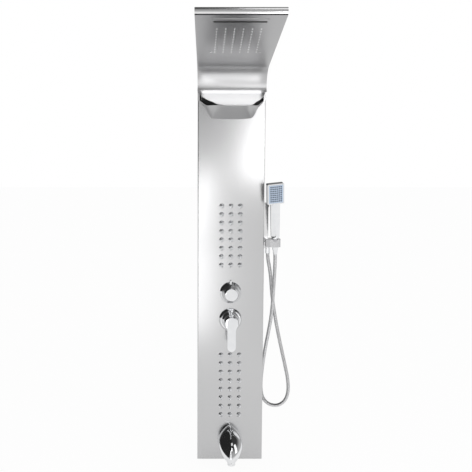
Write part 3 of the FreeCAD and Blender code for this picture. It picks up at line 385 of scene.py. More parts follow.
def build_world():
    """White to the camera, shaded in mirrors, and even light for the rest."""
    world = bpy.data.worlds.new("studio")
    world.use_nodes = True
    bpy.context.scene.world = world
    room = Recipe(world.node_tree)
    heading = room.node("ShaderNodeTexCoord", output=0)
    across, upward = (room.node("ShaderNodeSeparateXYZ", None, {0: heading}, output=axis)
                      for axis in (0, 2))
    left_side = (across * -1.0 + upward * 0.5).between(0.20, 0.70)
    canopy = upward.between(0.02, 0.17)
    ceiling = upward.between(0.28, 0.70)
    tone = (room_tone - left_side * left_darkening - canopy * canopy_darkening
            - ceiling * ceiling_darkening).sum("MAXIMUM", darkest_tone)
    seen, glossy = room.rays()
    strength = glossy * tone + (1.0 - glossy) * fill_light
    strength = seen + (1.0 - seen) * strength
    values = {"Color": rgb(1.0, 1.0, 1.0), "Strength": strength}
    shine = room.node("ShaderNodeBackground", None, values)
    room.node("ShaderNodeOutputWorld", None, {"Surface": shine})


build_world()

# %% Lamps
def soft_lamp(name, place, target, size, strength, lean=0.0):
    """A rectangular lamp. Strength is its brightness, where 1 is white."""
    data = bpy.data.lights.new(name, "AREA")
    data.shape = "RECTANGLE"
    data.size, data.size_y = size
    data.energy = strength * math.pi * size[0] * size[1]
    lamp = bpy.data.objects.new(name, data)
    aim = (Vector(target) - Vector(place)).to_track_quat("-Z", "Y").to_matrix().to_4x4()
    lamp.matrix_world = Matrix.Translation(place) @ aim @ Matrix.Rotation(lean, 4, "Z")
    lamp.visible_camera = False
    bpy.context.scene.collection.objects.link(lamp)


# The tall lamps: how far to the right, how high, size, strength and lean.
lamp_y = -1.60
tall_lamps = {
    "upper_lamp": (0.30, 0.56, (0.18, 0.52), 2.8, -14),
    "lower_lamp": (-0.085, 0.16, (0.11, 0.42), 2.6, -8),
    "tail_lamp": (-0.09, -0.32, (0.15, 0.50), 1.7, -4),
}
for name, (right, height, size, strength, lean) in tall_lamps.items():
    soft_lamp(name, (right, lamp_y, height), (right, 0.0, height), size, strength,
              math.radians(lean))
soft_lamp("right_lamp", (1.5, -1.3, 0.6), (0.0, 0.0, 0.1), (0.7, 1.4), 1.2)
soft_lamp("top_lamp", (0.5, -1.6, 1.7), (0.0, -0.1, 0.2), (0.8, 0.5), 0.8)
soft_lamp("mouth_lamp", (0.0, -0.078, 0.632), (0.0, -0.128, 0.545), (0.19, 0.035), 2.8)
soft_lamp("curl_lamp", (0.0, -0.118, 0.594), (0.0, -0.043, 0.660), (0.19, 0.030), 1.5)
bpy.context.scene.view_settings.view_transform = "Standard"

# %% Floor
floor_gap = 0.004
floor_reach = 40.0
glow_when_seen, glow_in_mirrors = 0.94, 0.60


def build_floor():
    """A wide white floor just below the object, which glows like the world."""
    height = cad_box[0][2] - floor_gap
    mesh = bpy.data.meshes.new("floor")
    corners = [(x * floor_reach, y * floor_reach, height)
               for x, y in ((-1, -1), (1, -1), (1, 1), (-1, 1))]
    mesh.from_pydata(corners, [], [(0, 1, 2, 3)])
    floor = bpy.data.objects.new("floor", mesh)
    bpy.context.scene.collection.objects.link(floor)
    material = bpy.data.materials.new("floor")
    material.use_nodes = True
    paint = Recipe(material.node_tree)
    speckle = paint.noise(0.03) * 0.01 + 0.90
    colour = paint.node("ShaderNodeCombineColor", None, {0: speckle, 1: speckle, 2: speckle})
    matt = paint.node("ShaderNodeBsdfDiffuse", None, {"Color": colour})
    glow = paint.node("ShaderNodeEmission", None, {"Color": rgb(1.0, 1.0, 1.0), "Strength": 1.0})
    seen, glossy = paint.rays()
    share = seen * glow_when_seen + glossy * glow_in_mirrors
    mixed = paint.node("ShaderNodeMixShader", None, {0: share, 1: matt, 2: glow})
    paint.node("ShaderNodeOutputMaterial", None, {"Surface": mixed})
    mesh.materials.append(material)


build_floor()

# %% [markdown]
# ## From frame to finished piece
#
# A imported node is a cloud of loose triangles, which is exact but shades like
# a cut gem. The helpers copy a node's mesh, weld it and let light run
# smoothly over its curves while real edges stay sharp. Averaged normals
# would smear a fillet's shading across the flat beside it, so the faces are
# weighted by their size.

# %% Helpers for pieces
merge_distance, weld_distance = 1e-6, 2e-6
weld_crease = 25.0
block_rounding = 0.3 * mm


def link(name, mesh):
    piece = bpy.data.objects.new(name, mesh)
    bpy.context.scene.collection.objects.link(piece)
    return piece


def baked(piece):
    """The piece with its modifiers worked into a plain mesh."""
    graph = bpy.context.evaluated_depsgraph_get()
    mesh = bpy.data.meshes.new_from_object(piece.evaluated_get(graph), depsgraph=graph)
    piece.modifiers.clear()
    piece.data = mesh
    return piece


def shade(piece, crease=30.0):
    """Smooth shading with sharp edges where faces meet at more than crease."""
    piece.data.shade_smooth()
    piece.data.set_sharp_from_angle(angle=math.radians(crease))
    weighting = piece.modifiers.new("weighting", "WEIGHTED_NORMAL")
    weighting.keep_sharp = True
    return baked(piece)


def merged(name, build, distance=merge_distance, turn_out=False):
    """A piece from a bmesh that build fills, its double points made one."""
    shape = bmesh.new()
    build(shape)
    bmesh.ops.remove_doubles(shape, verts=shape.verts, dist=distance)
    if turn_out:
        bmesh.ops.recalc_face_normals(shape, faces=shape.faces)
    mesh = bpy.data.meshes.new(name)
    shape.to_mesh(mesh)
    shape.free()
    return link(name, mesh)


def from_faces(name, build, crease=30.0):
    """A closed piece from faces that may be wound either way."""
    return shade(merged(name, build, turn_out=True), crease)


def welded(node):
    """A smooth copy of a CAD node, under the node's name with a suffix."""
    copy = merged(node + "_smooth", lambda shape: shape.from_mesh(nodes[node].data), weld_distance)
    return shade(copy, weld_crease)


def add_wall(piece, offset):
    """Give a one-sided sheet its thickness, to the side that offset names."""
    wall = piece.modifiers.new("wall", "SOLIDIFY")
    wall.thickness = sheet_thickness
    wall.offset = offset
    wall.use_even_offset = True
    return baked(piece)


def block(name, low, high):
    """A rounded box between two corners, in millimetres."""
    def build(shape):
        for vertex in bmesh.ops.create_cube(shape, size=1.0)["verts"]:
            vertex.co = Vector([(a + b) / 2 + (b - a) * side
                                for a, b, side in zip(low, high, vertex.co)]) * mm
    piece = from_faces(name, build)
    rounding = piece.modifiers.new("rounding", "BEVEL")
    rounding.width = block_rounding
    rounding.segments = 2
    rounding.limit_method = "ANGLE"
    rounding.angle_limit = math.radians(35.0)
    rounding.harden_normals = False
    return baked(piece)


body_of_node = {node: body for body, members in frame["record"]["behaviour"]["bodies"].items()
                for node in members}


def settle(piece, material, slot, *replaced, body=None):
    """Give a piece its finish and its body, in place of CAD nodes."""
    piece.data.materials.clear()
    piece.data.materials.append(material)
    if replaced:
        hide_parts(*replaced)
    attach(piece, body or body_of_node[replaced[0]])


def painted_shade_strip(name, low, high, place=None):
    """A near-black strip between two corners, put in as painted shade."""
    strip = block(name, low, high)
    if place is not None:
        strip.matrix_world = place
    settle(strip, painted_shade_black, "face_nozzle", body="root")


# %% [markdown]
# ## Finishes for every node
#
# First each CAD node gets the finish of its slot, so nothing is left plain.
# Flat sheet parts need no more. Parts with curved faces are then replaced by
# their smooth copies, and the later cells model the parts that deserve more
# shape than the frame has.

# %% Finishes by slot
finish_of_slot = {
    "panel_steel": panel_steel, "bright_trim": bright_trim, "chrome": chrome,
    "hose_metal": hose_metal, "screw_steel": screw_steel, "galvanised": zinc, "brass": brass,
    "cartridge_plastic": cartridge_plastic, "manifold_plastic": manifold_plastic,
    "pipe_plastic": pipe_plastic, "braided_hose": braid, "white_nozzle": nozzle_rubber,
    "jet_insert": chrome, "face_plastic": face_plastic, "face_nozzle": face_rubber,
    "liner_plastic": liner_plastic,
}
slot_of_node = {entry["node"]: entry["material_slot"] for entry in frame["record"]["subparts"]}
for name, node in nodes.items():
    node.data.materials.clear()
    node.data.materials.append(finish_of_slot[slot_of_node[name]])
print("finishes on", len(nodes), "nodes")

# %% Smooth copies of curved parts
smooth_nodes = [
    "front_panel", "head_shell", "waterfall_rim", "diverter_body", "diverter_cartridge",
    "diverter_flange", "diverter_nut", "mixer_body", "mixer_cartridge", "mixer_flange",
    "mixer_nut", "mixer_turret", "lever_pin", "diverter_stem", "spout_aerator", "spout_nut",
    "supply_pipe", "upper_jet_pipe", "rain_pipe", "waterfall_pipe", "handset_pipe",
    "lower_jet_pipe", "spout_pipe", "hot_inlet_hose", "cold_inlet_hose", "hot_inlet_nut",
    "cold_inlet_nut", "handset_holder", "holder_liner", "outlet_ferrule", "outlet_nut",
    "hose_cone_nut", "handset_shell", "mixer_lever", "diverter_knob",
]
# The waterfall rim takes the darker steel, which is painted shade.
own_finish = {"waterfall_rim": painted_shade_steel, "handset_holder": satin_chrome}
for name in smooth_nodes:
    slot = slot_of_node[name]
    settle(welded(name), own_finish.get(name, finish_of_slot[slot]), slot, name)
print("smooth copies of", len(smooth_nodes), "nodes")

# %% [markdown]
# ## The head's sheet
#
# One sheet makes the head's underside, the deep curl into the column and the
# tongue that comes out of the mouth. In the workshop it is one blank, rolled
# along its length, so the model is made the same way: a side line of
# straights and arcs, and a half width at each point of it. Rows of faces
# follow that line closely enough for the curl to mirror the room without
# steps, and the blank is left open where the waterfall slot is.

# %% The sheet's side line
front_y = -60.0 * mm
slope = math.radians(15.2)
sheet_thickness = 1.5 * mm
head_reach, head_bottom, trim_depth = 362.0, 763.0, 3.0
lip_reach, lip_bottom = head_reach - trim_depth, head_bottom - trim_depth * math.tan(slope)
curl_radius, curl_reach = 65.0, 8.0
tuck_radius, tuck_turn = 22.0, math.radians(65.0)
tongue_run, tongue_drop = 181.0, 53.0
slot_start, slot_end = 29.3, 37.3
underside_rows = [0.0, 12.0, slot_start, slot_end, 60.0, 90.0, 120.0, 150.0, 180.0, 210.0, 240.0]


def arc(centre, radius, start, end, steps):
    """Points of an arc in the side view, as (reach, height)."""
    turns = [start + (end - start) * step / steps for step in range(steps + 1)]
    return [(centre[0] + radius * math.cos(turn), centre[1] + radius * math.sin(turn))
            for turn in turns]


def side_line():
    """The line from the lip to the tongue's tip, and where the tongue starts."""
    line = [(lip_reach - along * math.cos(slope), lip_bottom - along * math.sin(slope))
            for along in underside_rows]
    underside_run = lip_reach - curl_reach - curl_radius
    curl_height = lip_bottom - math.tan(slope) * underside_run - curl_radius / math.cos(slope)
    curl = arc((curl_reach + curl_radius, curl_height), curl_radius,
               math.pi / 2 + slope, math.pi, 60)
    tuck = arc((curl_reach + tuck_radius, curl_height), tuck_radius,
               math.pi, math.pi + tuck_turn, 20)
    line += curl + tuck[1:]
    tongue_starts = len(line)
    root, heading = tuck[-1], tuck_turn - math.pi / 2
    tip = (root[0] + tongue_run, root[1] - tongue_drop)
    chord = math.hypot(tip[0] - root[0], tip[1] - root[1])
    bend = 2.0 * (math.atan2(tip[1] - root[1], tip[0] - root[0]) - heading)
    radius = chord / 2.0 / math.sin(bend / 2.0)
    centre = (root[0] - radius * math.sin(heading), root[1] + radius * math.cos(heading))
    start = heading - math.pi / 2
    line += arc(centre, radius, start, start + bend, 40)[1:]
    return line, tongue_starts


# %% The blank's width
column_half, head_flare = 110.0, 14.0
tongue_edge = [(14.0, 104.0), (30.0, 101.0), (49.0, 95.0), (80.0, 81.5), (118.0, 64.5),
               (172.0, 50.0), (202.0, 36.0)]


def smooth_between(table, reach):
    """A smooth curve through a table of (reach, half width) pairs."""
    reach = min(max(reach, table[0][0]), table[-1][0])
    place = max(index for index in range(len(table) - 1) if table[index][0] <= reach)
    (x0, y0), (x1, y1) = table[place], table[place + 1]
    before, after = table[max(place - 1, 0)], table[min(place + 2, len(table) - 1)]
    slope_in = (y1 - before[1]) / (x1 - before[0])
    slope_out = (after[1] - y0) / (after[0] - x0)
    share, span = (reach - x0) / (x1 - x0), x1 - x0
    inside = share * (1.0 - share) * ((1.0 - share) * (slope_in * span - (y1 - y0))
                                      - share * (slope_out * span - (y1 - y0)))
    return y0 + share * (y1 - y0) + inside


def blank_half(reach, on_tongue):
    """Half the blank's width at a reach, in millimetres."""
    if on_tongue:
        return smooth_between(tongue_edge, reach)
    return column_half + head_flare * reach / head_reach


# %% The rolled sheet
slot_share = 0.598
half_shares = [0.2, 0.4, slot_share, 0.75, 0.9, 1.0]
across_shares = [-share for share in reversed(half_shares)] + [0.0] + half_shares
tuck_rows_as_tongue = 10


def build_head_sheet(shape):
    """Rows of faces along the side line, with the waterfall slot left out."""
    line, tongue_starts = side_line()
    tongue_root = tongue_edge[0][0]
    rows = []
    for index, (reach, height) in enumerate(line):
        half = blank_half(max(reach, tongue_root), index >= tongue_starts - tuck_rows_as_tongue)
        rows.append([shape.verts.new((half * share * mm, front_y - reach * mm, height * mm))
                     for share in across_shares])
    slot_row = underside_rows.index(slot_start)
    for row, (low, high) in enumerate(zip(rows, rows[1:])):
        for column, (left, right) in enumerate(zip(across_shares, across_shares[1:])):
            if row == slot_row and -slot_share <= left and right <= slot_share:
                continue
            shape.faces.new((low[column], low[column + 1], high[column + 1], high[column]))


head_sheet = merged("head_sheet_rolled", build_head_sheet)
faces_out = sum(face.normal.y for face in head_sheet.data.polygons) < 0
print("head sheet:", len(head_sheet.data.polygons), "faces, facing", "out" if faces_out else "in")
settle(shade(add_wall(head_sheet, -1.0 if faces_out else 1.0)), painted_shade_steel, "panel_steel",
       "head_sheet")

# %% [markdown]
# ## The scoop below the mouth
#
# Under the tongue the column's front is pressed outwards into a scoop, like
# the spout of a jug. A press leaves no creases, so the surface runs on smooth
# curves from the crease on the column to the scoop's free edge. Both lines
# are given as (across, reach, height) for the right half.

# %% The pressed scoop
crease_line = [(49.0, 0.0, 520.5), (71.0, 0.0, 530.0), (86.0, 0.0, 557.0), (103.0, 0.0, 575.0)]
edge_line = [(40.0, 50.0, 559.0), (62.0, 36.0, 560.0), (84.0, 10.0, 563.0), (103.0, 0.4, 578.0)]
scoop_belly, full_belly_reach = 1.5, 50.0


def smooth_row(points, steps):
    """Points along a smooth curve through points of a symmetric line."""
    points = [(-x, reach, height) for x, reach, height in reversed(points)] + list(points)
    ends = [points[0], *points, points[-1]]
    row = []
    for before, start, end, after in zip(ends, ends[1:], ends[2:], ends[3:]):
        for step in range(steps):
            share = step / steps
            weights = (-0.5 * share + share ** 2 - 0.5 * share ** 3,
                       1.0 - 2.5 * share ** 2 + 1.5 * share ** 3,
                       0.5 * share + 2.0 * share ** 2 - 1.5 * share ** 3,
                       -0.5 * share ** 2 + 0.5 * share ** 3)
            around = list(zip(weights, (before, start, end, after)))
            row.append([sum(weight * point[axis] for weight, point in around)
                        for axis in range(3)])
    return row + [list(points[-1])]


def build_scoop(shape):
    """Rows of faces from the crease line to the edge line, slightly bellied."""
    low, high = smooth_row(crease_line, 10), smooth_row(edge_line, 10)
    rise = 8
    rows = []
    for step in range(rise + 1):
        share = step / rise
        belly = 4.0 * share * (1.0 - share)
        row = []
        for start, end in zip(low, high):
            x, reach, height = (a + (b - a) * share for a, b in zip(start, end))
            fade = min(1.0, end[1] / full_belly_reach)
            out = reach + scoop_belly * belly * fade
            row.append(shape.verts.new((x * mm, front_y - out * mm, height * mm)))
        rows.append(row)
    for one, two in zip(rows, rows[1:]):
        for a, b, c, d in zip(one, one[1:], two[1:], two):
            shape.faces.new((a, b, c, d))


scoop = add_wall(merged("mouth_scoop_pressed", build_scoop), -1.0)
settle(shade(scoop, 50.0), painted_shade_steel, "panel_steel", "mouth_scoop")

# %% [markdown]
# ## Painted shade in the mouth
#
# A near-black plate stands behind the mouth as painted shade. From the front it
# is the black gap at both sides of the tongue, where the mouth lies in shade.

# %% Painted shade in the mouth
painted_shade_strip("mouth_baffle", (-96.0, -50.5, 526.0), (96.0, -49.0, 640.0))

# %% [markdown]
# ## Lip trim
#
# The head's front edge is closed by a bright polished strip. Its face is a
# shallow barrel, so that it mirrors a band of the room and not one tone.
# Thin near-black strips above and below it are painted shade: seen from the
# front, both read as the fine dark lines of the shaded gaps at its edges.

# %% Lip trim and its painted shade lines
def build_trim(shape):
    """A section of the strip, drawn out across the whole lip."""
    half, front, depth = 124.0 * mm, front_y - head_reach * mm, trim_depth * mm
    low, high, bulge = 765.2 * mm, 780.4 * mm, 1.0 * mm
    middle, half_height = (low + high) / 2, (high - low) / 2
    section = [(front + depth, low)]
    section += [(front + bulge * place ** 2, middle + half_height * place)
                for place in (step / 8 for step in range(-8, 9))]
    section.append((front + depth, high))
    ends = [[shape.verts.new((side * half, y, z)) for y, z in section] for side in (-1.0, 1.0)]
    for index in range(len(section)):
        after = (index + 1) % len(section)
        shape.faces.new((ends[0][index], ends[0][after], ends[1][after], ends[1][index]))
    shape.faces.new(ends[0])
    shape.faces.new(list(reversed(ends[1])))


settle(from_faces("lip_trim_rolled", build_trim, 50.0), bright_trim, "bright_trim", "lip_trim")
painted_shade_strip("lip_seal_low", (-123.5, -421.4, 763.1), (123.5, -419.4, 765.1))
painted_shade_strip("lip_seal_high", (-123.8, -421.6, 780.5), (123.8, -419.4, 782.0))

# %% [markdown]
# ## Tub spout
#
# The spout is a full almond on the panel that swells forward and turns down
# to its outlet. Cross-sections fan out about a level line at the spout's
# heel, from upright at the panel to level at the outlet: each is a pointed
# oval at first and a round one at the end, and it keeps its width until
# close to the outlet. A skin over these rings is the whole body.

# %% Tub spout
spout_heel, spout_top, spout_centre = -587.0, -500.5, -558.0
spout_reach, outlet_radius, spout_half = 90.0, 15.5, 41.5
heel_growth, width_hold = 1.9, 5.2


def spout_ring(share, count):
    """One cross-section, where share runs from 0 at the panel to 1 at the outlet."""
    turn = math.pi / 2 * share
    low = (spout_reach - outlet_radius) * share ** heel_growth
    high = (spout_top - spout_heel) * (1.0 - share) + (spout_reach + outlet_radius) * share
    widest = (spout_centre - spout_heel) * (1.0 - share) + spout_reach * share
    half_width = spout_half + (outlet_radius - spout_half) * share ** width_hold
    power = 2.0 / (1.5 + 0.5 * share)
    ring = []
    for index in range(count):
        angle = math.pi + 2.0 * math.pi * index / count
        across = math.copysign(abs(math.sin(angle)) ** power, math.sin(angle))
        along = math.copysign(abs(math.cos(angle)) ** power, math.cos(angle))
        distance = widest + along * ((high - widest) if along > 0.0 else (widest - low))
        ring.append((half_width * across * mm, front_y - distance * math.sin(turn) * mm,
                     (spout_heel + distance * math.cos(turn)) * mm))
    return ring


def build_spout(shape):
    """A skin over the rings, closed at both ends."""
    count, rings = 64, 40
    skin = [[shape.verts.new(place) for place in spout_ring(step / rings, count)]
            for step in range(rings + 1)]
    for one, two in zip(skin, skin[1:]):
        for index in range(count):
            after = (index + 1) % count
            shape.faces.new((one[index], one[after], two[after], two[index]))
    shape.faces.new(skin[0])
    shape.faces.new(skin[-1])


settle(from_faces("spout_body_full", build_spout, 60.0), chrome, "chrome", "spout_body")

# %% [markdown]
# ## Shapes that repeat in rows
#
# The body jets, the rain nozzles and the hand shower's nozzles all stand in
# a grid. One Geometry Nodes tree serves them all: it lays out a grid, puts a
# template on each point, turns the whole field into place and makes it real.

# %% Trees that make shapes
def start_tree(name, wanted):
    """A tree, the recipe that adds to it, and its inputs by name."""
    tree = bpy.data.node_groups.new(name, "GeometryNodeTree")
    tree.interface.new_socket("Geometry", in_out="OUTPUT", socket_type="NodeSocketGeometry")
    for label, kind in wanted.items():
        tree.interface.new_socket(label, in_out="INPUT", socket_type="NodeSocket" + kind)
    steps = Recipe(tree)
    entry = tree.nodes.new("NodeGroupInput")
    return tree, steps, {label: Wire(steps, entry.outputs[label]) for label in wanted}


def end_tree(tree, result):
    leave = tree.nodes.new("NodeGroupOutput")
    tree.links.new(result.socket, leave.inputs[0])
    return tree


def run_tree(name, tree, values, start=None):
    """Run a tree with named inputs, and keep the result as a plain mesh."""
    piece = link(name, start or bpy.data.meshes.new(name))
    steps = piece.modifiers.new("steps", "NODES")
    steps.node_group = tree
    for socket in tree.interface.items_tree:
        if socket.in_out == "INPUT" and socket.name in values:
            steps[socket.identifier] = values[socket.name]
    bpy.context.view_layer.update()
    return baked(piece)


# %% A field of templates
def build_field_tree():
    """A grid, a template on each of its points, and the field turned into place."""
    tree, steps, given = start_tree("field", {
        "Template": "Object", "Columns": "Int", "Rows": "Int", "Column pitch": "Float",
        "Row pitch": "Float", "Place": "Vector", "Turn": "Vector", "Finish": "Material"})
    grid = steps.node("GeometryNodeMeshGrid", None, {
        "Size X": (given["Columns"] - 1.0) * given["Column pitch"],
        "Size Y": (given["Rows"] - 1.0) * given["Row pitch"],
        "Vertices X": given["Columns"], "Vertices Y": given["Rows"]})
    model = steps.node("GeometryNodeObjectInfo", None, {"Object": given["Template"]}, output=4)
    copies = steps.node("GeometryNodeInstanceOnPoints", None, {"Points": grid, "Instance": model})
    real = steps.node("GeometryNodeRealizeInstances", None, {"Geometry": copies})
    placed = steps.node("GeometryNodeTransform", None, {
        "Geometry": real, "Translation": given["Place"], "Rotation": given["Turn"]})
    return end_tree(tree, steps.node("GeometryNodeSetMaterial", None, {
        "Geometry": placed, "Material": given["Finish"]}))


field_tree = build_field_tree()


def field(name, model, counts, pitch, place, turn, material):
    """A field of a template: counts and pitch go across, then along."""
    piece = run_tree(name, field_tree, {
        "Template": model, "Columns": counts[0], "Rows": counts[1], "Column pitch": pitch[0],
        "Row pitch": pitch[1], "Place": tuple(place), "Turn": tuple(turn), "Finish": material})
    print("%-22s %2d x %2d, %d faces" % (name, *counts, len(piece.data.polygons)))
    return piece


# %% Turning on a lathe
def lathe(outline, sides):
    """A function that turns an outline of (radius, height) round the Z axis."""
    def build(shape):
        rings = []
        for radius, height in outline:
            if radius == 0.0:
                rings.append([shape.verts.new((0.0, 0.0, height))] * sides)
                continue
            ring = []
            for side in range(sides):
                turn = 2.0 * math.pi * side / sides
                corner = (radius * math.cos(turn), radius * math.sin(turn), height)
                ring.append(shape.verts.new(corner))
            rings.append(ring)
        for low, high in zip(rings, rings[1:]):
            for side in range(sides):
                after = (side + 1) % sides
                corners = list(dict.fromkeys((low[side], low[after], high[after], high[side])))
                if len(corners) > 2:
                    shape.faces.new(corners)
    return build


def template(name, outline, sides=24, crease=30.0):
    """A turned shape that fields repeat. It isn't part of the object itself."""
    outline = [(radius * mm, height * mm) for radius, height in outline]
    return from_faces(name, lathe(outline, sides), crease)


# %% [markdown]
# ## Body jets
#
# Each jet is a small chrome dome of about sixteen millimetres: a ring pressed
# against the sheet, and inside it a ball-like insert with a small hole. At a
# distance it reads as a bead with a dark upper left side.

# %% Body jets
jet_ring_outline = [(4.9, 0.0), (8.1, 0.0), (8.1, 1.2), (7.8, 2.2), (7.1, 3.3), (6.2, 4.2),
                    (5.5, 4.6), (5.0, 4.5), (4.7, 4.0), (4.9, 0.0)]
jet_tip_outline = [(0.0, 0.6), (4.55, 0.6), (4.5, 3.0), (4.2, 4.4), (3.5, 5.5), (2.5, 6.3),
                   (1.5, 6.7), (1.2, 6.6), (1.0, 6.0), (0.0, 6.0)]
jet_ring = template("jet_ring_template", jet_ring_outline)
jet_tip = template("jet_tip_template", jet_tip_outline)
jet_columns, jet_rows, jet_pitch_x = 3, 8, 30.5 * mm
facing_out = (math.pi / 2, 0.0, 0.0)
for level, top_row, pitch in (("upper", 239.0, 27.8), ("lower", -258.9, 29.4)):
    middle = (0.0, front_y, (top_row - (jet_rows - 1) / 2 * pitch) * mm)
    for part, model in (("rings", jet_ring), ("tips", jet_tip)):
        name = "%s_jet_%s" % (level, part)
        made = field(name + "_made", model, (jet_columns, jet_rows), (jet_pitch_x, pitch * mm),
                     middle, facing_out, chrome)
        settle(shade(made), chrome, slot_of_node[name], name)

# %% [markdown]
# ## Rain nozzles
#
# Ten rows of six soft white nozzles poke through the sloping underside of
# the head. Each is a short tapered stub with a dimple in its tip.

# %% Rain nozzles
rain_outline = [(0.0, -1.0), (2.4, -1.0), (2.4, 0.1), (1.8, 0.4), (1.6, 1.0), (1.3, 1.2),
                (0.9, 1.2), (0.7, 0.9), (0.0, 0.8)]
rain_nozzle = template("rain_nozzle_template", rain_outline, 14, 50.0)
rain_columns, rain_rows = 6, 10
rain_pitch_x, rain_pitch_y, rain_start = 24.7, 15.8, 79.8
lip = Vector((0.0, front_y - head_reach * mm, head_bottom * mm))
down_slope = Matrix.Rotation(-slope, 4, "X")


def on_slope(across, along, up):
    """A point from millimetres along the head's underside, from the lip."""
    return lip + down_slope @ Vector((across * mm, along * mm, up * mm))


rain_middle = on_slope(0.0, rain_start + (rain_rows - 1) / 2 * rain_pitch_y, 0.0)
rain_field = field("rain_nozzles_made", rain_nozzle, (rain_columns, rain_rows),
                   (rain_pitch_x * mm, rain_pitch_y * mm), rain_middle,
                   (math.pi - slope, 0.0, 0.0), nozzle_rubber)
settle(shade(rain_field, 50.0), nozzle_rubber, "white_nozzle", "rain_nozzles")

# %% [markdown]
# ## Painted shade in the waterfall slot
#
# Two near-black strips lie in the waterfall slot with a slit between them, as
# painted shade: from below the slot reads as one black line, where the opening
# lies in shade.

# %% Painted shade in the waterfall slot
slit_along, slit_to_shade_strip, shade_strip_depth = 36.3, 2.1, -0.4
for end, side in (("front", -1.0), ("back", 1.0)):
    middle = on_slope(0.0, slit_along + side * slit_to_shade_strip, shade_strip_depth)
    painted_shade_strip("waterfall_lip_" + end, (-72.2, -1.7, -0.5), (72.2, 1.7, 0.5),
                 Matrix.Translation(middle) @ down_slope)

# %% [markdown]
# ## Hand shower nozzles
#
# The hand shower's pale face carries a dense grid of dark rubber nozzles,
# six across and eight down. They stand square to the face, which leans and
# turns with the hand shower in its holder.

# %% Hand shower nozzles
hand_turn = (Matrix.Rotation(math.radians(-3.0), 4, "Y")
             @ Matrix.Rotation(math.radians(15.0), 4, "X")
             @ Matrix.Rotation(math.radians(10.0), 4, "Z"))
hand_place = Matrix.Translation((141.5 * mm, -88.0 * mm, 121.3 * mm)) @ hand_turn
face_outline = [(0.0, -1.2), (2.3, -1.2), (2.3, 0.1), (1.8, 0.3), (1.6, 0.6), (1.3, 1.0),
                (0.7, 1.2), (0.0, 1.1)]
face_nozzle = template("face_nozzle_template", face_outline, 12, 50.0)
face_columns, face_rows, face_pitch = 6, 8, 6.6 * mm
face_middle = hand_place @ Vector((0.0, -12.4 * mm, 168.0 * mm))
face_turn = (hand_turn @ Matrix.Rotation(math.pi / 2, 4, "X")).to_euler()
face_field = field("handset_nozzles_made", face_nozzle, (face_columns, face_rows),
                   (face_pitch, face_pitch), face_middle, face_turn, face_rubber)
settle(shade(face_field, 50.0), face_rubber, "face_nozzle", "handset_nozzles")

# %% [markdown]
# ## The hose
#
# A shower hose is a strip of metal wound into a tube so that its edges hook
# into each other, which leaves a groove every few millimetres and lets it
# bend without kinking. It drops from the outlet under the holder, swings
# round its loop by its own weight and comes up into the cone nut. Its
# centreline is one smooth curve, and a tree sweeps a ribbed tube along it.

# %% The hose's line
hose_points = [
    (0.1210, -0.0620, 0.0840), (0.1210, -0.0620, 0.0680), (0.1280, -0.0570, 0.0380),
    (0.1345, -0.0480, -0.0020), (0.1385, -0.0410, -0.0500), (0.1455, -0.0380, -0.1000),
    (0.1570, -0.0375, -0.1650), (0.1720, -0.0370, -0.2350), (0.1870, -0.0365, -0.3000),
    (0.1975, -0.0360, -0.3480), (0.2005, -0.0360, -0.3920), (0.1905, -0.0350, -0.4260),
    (0.1660, -0.0320, -0.4445), (0.1365, -0.0270, -0.4425), (0.1145, -0.0205, -0.4230),
    (0.1085, -0.0160, -0.3900), (0.1095, -0.0160, -0.3480), (0.1140, -0.0200, -0.3000),
    (0.1210, -0.0300, -0.2400), (0.1300, -0.0430, -0.1800), (0.1375, -0.0550, -0.1200),
    (0.1405, -0.0620, -0.0600), (0.1430, -0.0640, -0.0080), (0.1448, -0.0662, 0.0380),
    (0.14439, -0.07322, 0.06622), (0.14348, -0.07788, 0.08358),
]
hose_diameter = 0.012


def hose_centreline():
    """A mesh of edges along a smooth curve that the hose's points pull."""
    curve = bpy.data.curves.new("hose_line", "CURVE")
    curve.dimensions = "3D"
    curve.resolution_u = 24
    spline = curve.splines.new("NURBS")
    spline.points.add(len(hose_points) - 1)
    for point, place in zip(spline.points, hose_points):
        point.co = (*place, 1.0)
    spline.order_u = 3
    spline.use_endpoint_u = True
    holder = link("hose_line", curve)
    graph = bpy.context.evaluated_depsgraph_get()
    line = bpy.data.meshes.new_from_object(holder.evaluated_get(graph), depsgraph=graph)
    bpy.data.objects.remove(holder)
    return line


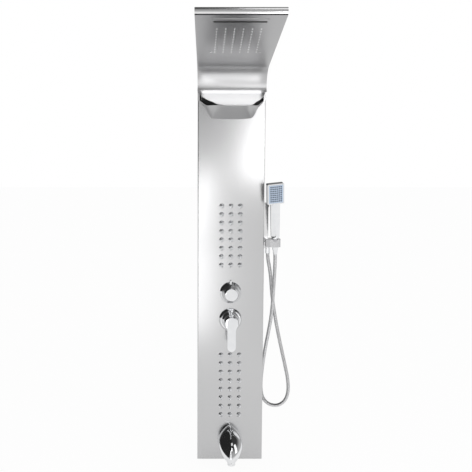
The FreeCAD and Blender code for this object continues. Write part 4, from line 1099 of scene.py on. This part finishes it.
hose_line = hose_centreline()
path = [vertex.co.copy() for vertex in hose_line.vertices]
hose_length = sum((after - before).length for before, after in zip(path, path[1:]))
print("hose: %.3f m along its line, %d points" % (hose_length, len(path)))

# %% The ribbed tube
def build_hose_tree():
    """A tube along a line, drawn in a little at each groove between ribs."""
    tree, steps, given = start_tree("ribbed_hose", {
        "Geometry": "Geometry", "Diameter": "Float", "Rib pitch": "Float",
        "Rib depth": "Float", "Step": "Float", "Sides": "Int", "Finish": "Material"})
    line = steps.node("GeometryNodeMeshToCurve", None, {"Mesh": given["Geometry"]})
    line = steps.node("GeometryNodeResampleCurve", {"mode": "LENGTH"}, {
        "Curve": line, "Length": given["Step"]})
    along = steps.node("GeometryNodeSplineParameter", output=1)
    wave = (along * math.pi).sum("DIVIDE", given["Rib pitch"]).sum("SINE").sum("ABSOLUTE")
    groove = (1.0 - wave) ** 2.0
    ring = steps.node("GeometryNodeCurvePrimitiveCircle", None, {
        "Resolution": given["Sides"], "Radius": given["Diameter"] * 0.5})
    tube = steps.node("GeometryNodeCurveToMesh", None, {
        "Curve": line, "Profile Curve": ring, "Scale": 1.0 - groove * given["Rib depth"],
        "Fill Caps": True})
    tube = steps.node("GeometryNodeSetShadeSmooth", None, {"Geometry": tube})
    return end_tree(tree, steps.node("GeometryNodeSetMaterial", None, {
        "Geometry": tube, "Material": given["Finish"]}))


hose = run_tree("shower_hose_ribbed", build_hose_tree(), {
    "Diameter": hose_diameter, "Rib pitch": 3.2 * mm, "Rib depth": 0.16, "Step": 0.4 * mm,
    "Sides": 14, "Finish": hose_metal}, hose_line)
print("hose mesh:", len(hose.data.polygons), "faces")
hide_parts("shower_hose")
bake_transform(hose)

# %% Templates leave the scene
for model in (jet_ring, jet_tip, rain_nozzle, face_nozzle):
    bpy.data.objects.remove(model)

# %% [markdown]
# ## The CAD's box
#
# The box of the CAD is printed at the end.

# %% The CAD's box
print("cad box   ", cad_box)
